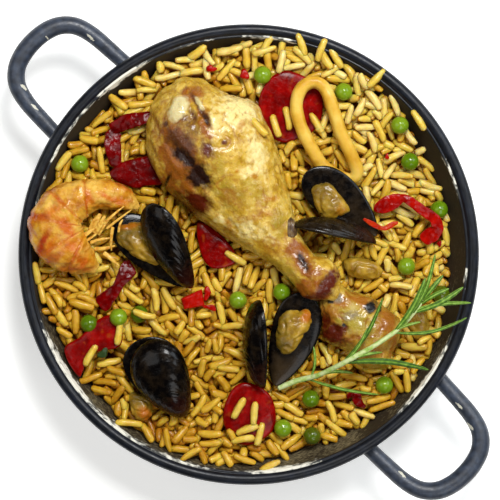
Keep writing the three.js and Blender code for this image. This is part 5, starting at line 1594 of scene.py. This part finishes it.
class PAELLA_OT_vegetables(bpy.types.Operator):
    """Builds the sausage, peppers, onion, peas and rosemary"""
    bl_idname = "paella.vegetables"
    bl_label = "Sausage, vegetables and herb"

    def execute(self, context):
        sausage = sausage_material()
        for node in SAUSAGE:
            sausage_piece(node, sausage)
        pepper = pepper_material()
        pepper_pieces(pepper)
        pepper_bits(pepper)
        pea_pieces(pea_material())
        onion_piece()
        rosemary_piece()
        return {"FINISHED"}


class PAELLA_OT_rice(bpy.types.Operator):
    """Lays the rice round the toppings, so it comes after them"""
    bl_idname = "paella.rice"
    bl_label = "Rice"

    def execute(self, context):
        rice_pieces(context.scene.paella_rice, context.scene.paella_pan)
        return {"FINISHED"}


LAMPS = [  # name, place in metres, size, share of the key light's power, colour
    ("key", (0.14, 0.44, 0.88), 0.28, 1.0, (1, 1, 1)),
    ("side", (0.66, 0.34, 0.62), 0.5, 0.36, (0.84, 0.92, 1.0)),
    ("left", (-0.55, 0.1, 0.75), 0.5, 0.15, (1, 1, 1)),
    ("front", (0.3, -0.55, 0.8), 0.5, 0.28, (1, 1, 1)),
]
ROOM_LIGHT = 0.05
FLOOR_SIZE = 3.0  # half of its side, in metres
SENSOR_WIDTH = 36  # mm
CAMERA_OFFSET = (0.59, 2.05)  # in mm, from the pan's axis


class PAELLA_OT_stage(bpy.types.Operator):
    """Sets the floor, the lights and the camera"""
    bl_idname = "paella.stage"
    bl_label = "Stage"

    def execute(self, context):
        stage = context.scene.paella_stage
        bm = bmesh.new()
        bmesh.ops.create_grid(bm, x_segments=1, y_segments=1, size=FLOOR_SIZE)
        floor = to_object("floor", bm)
        floor.data.materials.append(surface(
            # a pale board, lit a little from below as on a light table
            "pale_floor", [stage.floor_colour, stage.floor_colour], roughness=(0.7, 0.8), glow=0.5))
        for name, place, size, share, colour in LAMPS:
            light = bpy.data.lights.new(name, "AREA")
            light.size = size
            light.energy = stage.key_power * share
            light.color = colour
            lamp = bpy.data.objects.new(name, light)
            lamp.location = place
            lamp.rotation_euler = (-Vector(place)).to_track_quat("-Z", "Y").to_euler()
            context.scene.collection.objects.link(lamp)
        world = bpy.data.worlds.new("studio")
        world.use_nodes = True
        background = world.node_tree.nodes["Background"]
        background.inputs["Color"].default_value = (1, 1, 1, 1)
        background.inputs["Strength"].default_value = ROOM_LIGHT
        context.scene.world = world
        lens = bpy.data.cameras.new("camera")
        lens.sensor_width = SENSOR_WIDTH
        distance = stage.camera_height - context.scene.paella_pan.height * MM
        lens.lens = lens.sensor_width * distance / stage.frame_width
        camera = bpy.data.objects.new("camera", lens)
        camera.location = (CAMERA_OFFSET[0] * MM, CAMERA_OFFSET[1] * MM, stage.camera_height)
        context.scene.collection.objects.link(camera)
        context.scene.camera = camera
        context.scene.view_settings.view_transform = "Standard"
        return {"FINISHED"}


class PAELLA_PT_panel(bpy.types.Panel):
    """Lists the sizes and the build steps"""
    bl_idname = "PAELLA_PT_panel"
    bl_label = "Paella"
    bl_space_type = "VIEW_3D"
    bl_region_type = "UI"
    bl_category = "Paella"

    def draw(self, context):
        scene = context.scene
        for group in (scene.paella_pan, scene.paella_rice, scene.paella_stage):
            box = self.layout.box()
            for key in group.bl_rna.properties.keys():
                if key not in ("rna_type", "name"):
                    box.prop(group, key)
        for operator in OPERATORS:
            self.layout.operator(operator.bl_idname)


OPERATORS = (PAELLA_OT_pan, PAELLA_OT_chicken, PAELLA_OT_seafood, PAELLA_OT_vegetables, PAELLA_OT_rice,
             PAELLA_OT_stage)
CLASSES = (PaellaPan, PaellaRice, PaellaStage, *OPERATORS, PAELLA_PT_panel)


def register():
    for cls in CLASSES:
        bpy.utils.register_class(cls)
    bpy.types.Scene.paella_pan = PointerProperty(type=PaellaPan)
    bpy.types.Scene.paella_rice = PointerProperty(type=PaellaRice)
    bpy.types.Scene.paella_stage = PointerProperty(type=PaellaStage)


def unregister():
    for key in ("paella_pan", "paella_rice", "paella_stage"):
        delattr(bpy.types.Scene, key)
    for cls in reversed(CLASSES):
        bpy.utils.unregister_class(cls)


def main():
    register()
    for operator in OPERATORS:
        group, name = operator.bl_idname.split(".")
        getattr(getattr(bpy.ops, group), name)()


if __name__ == "__main__":
    main()
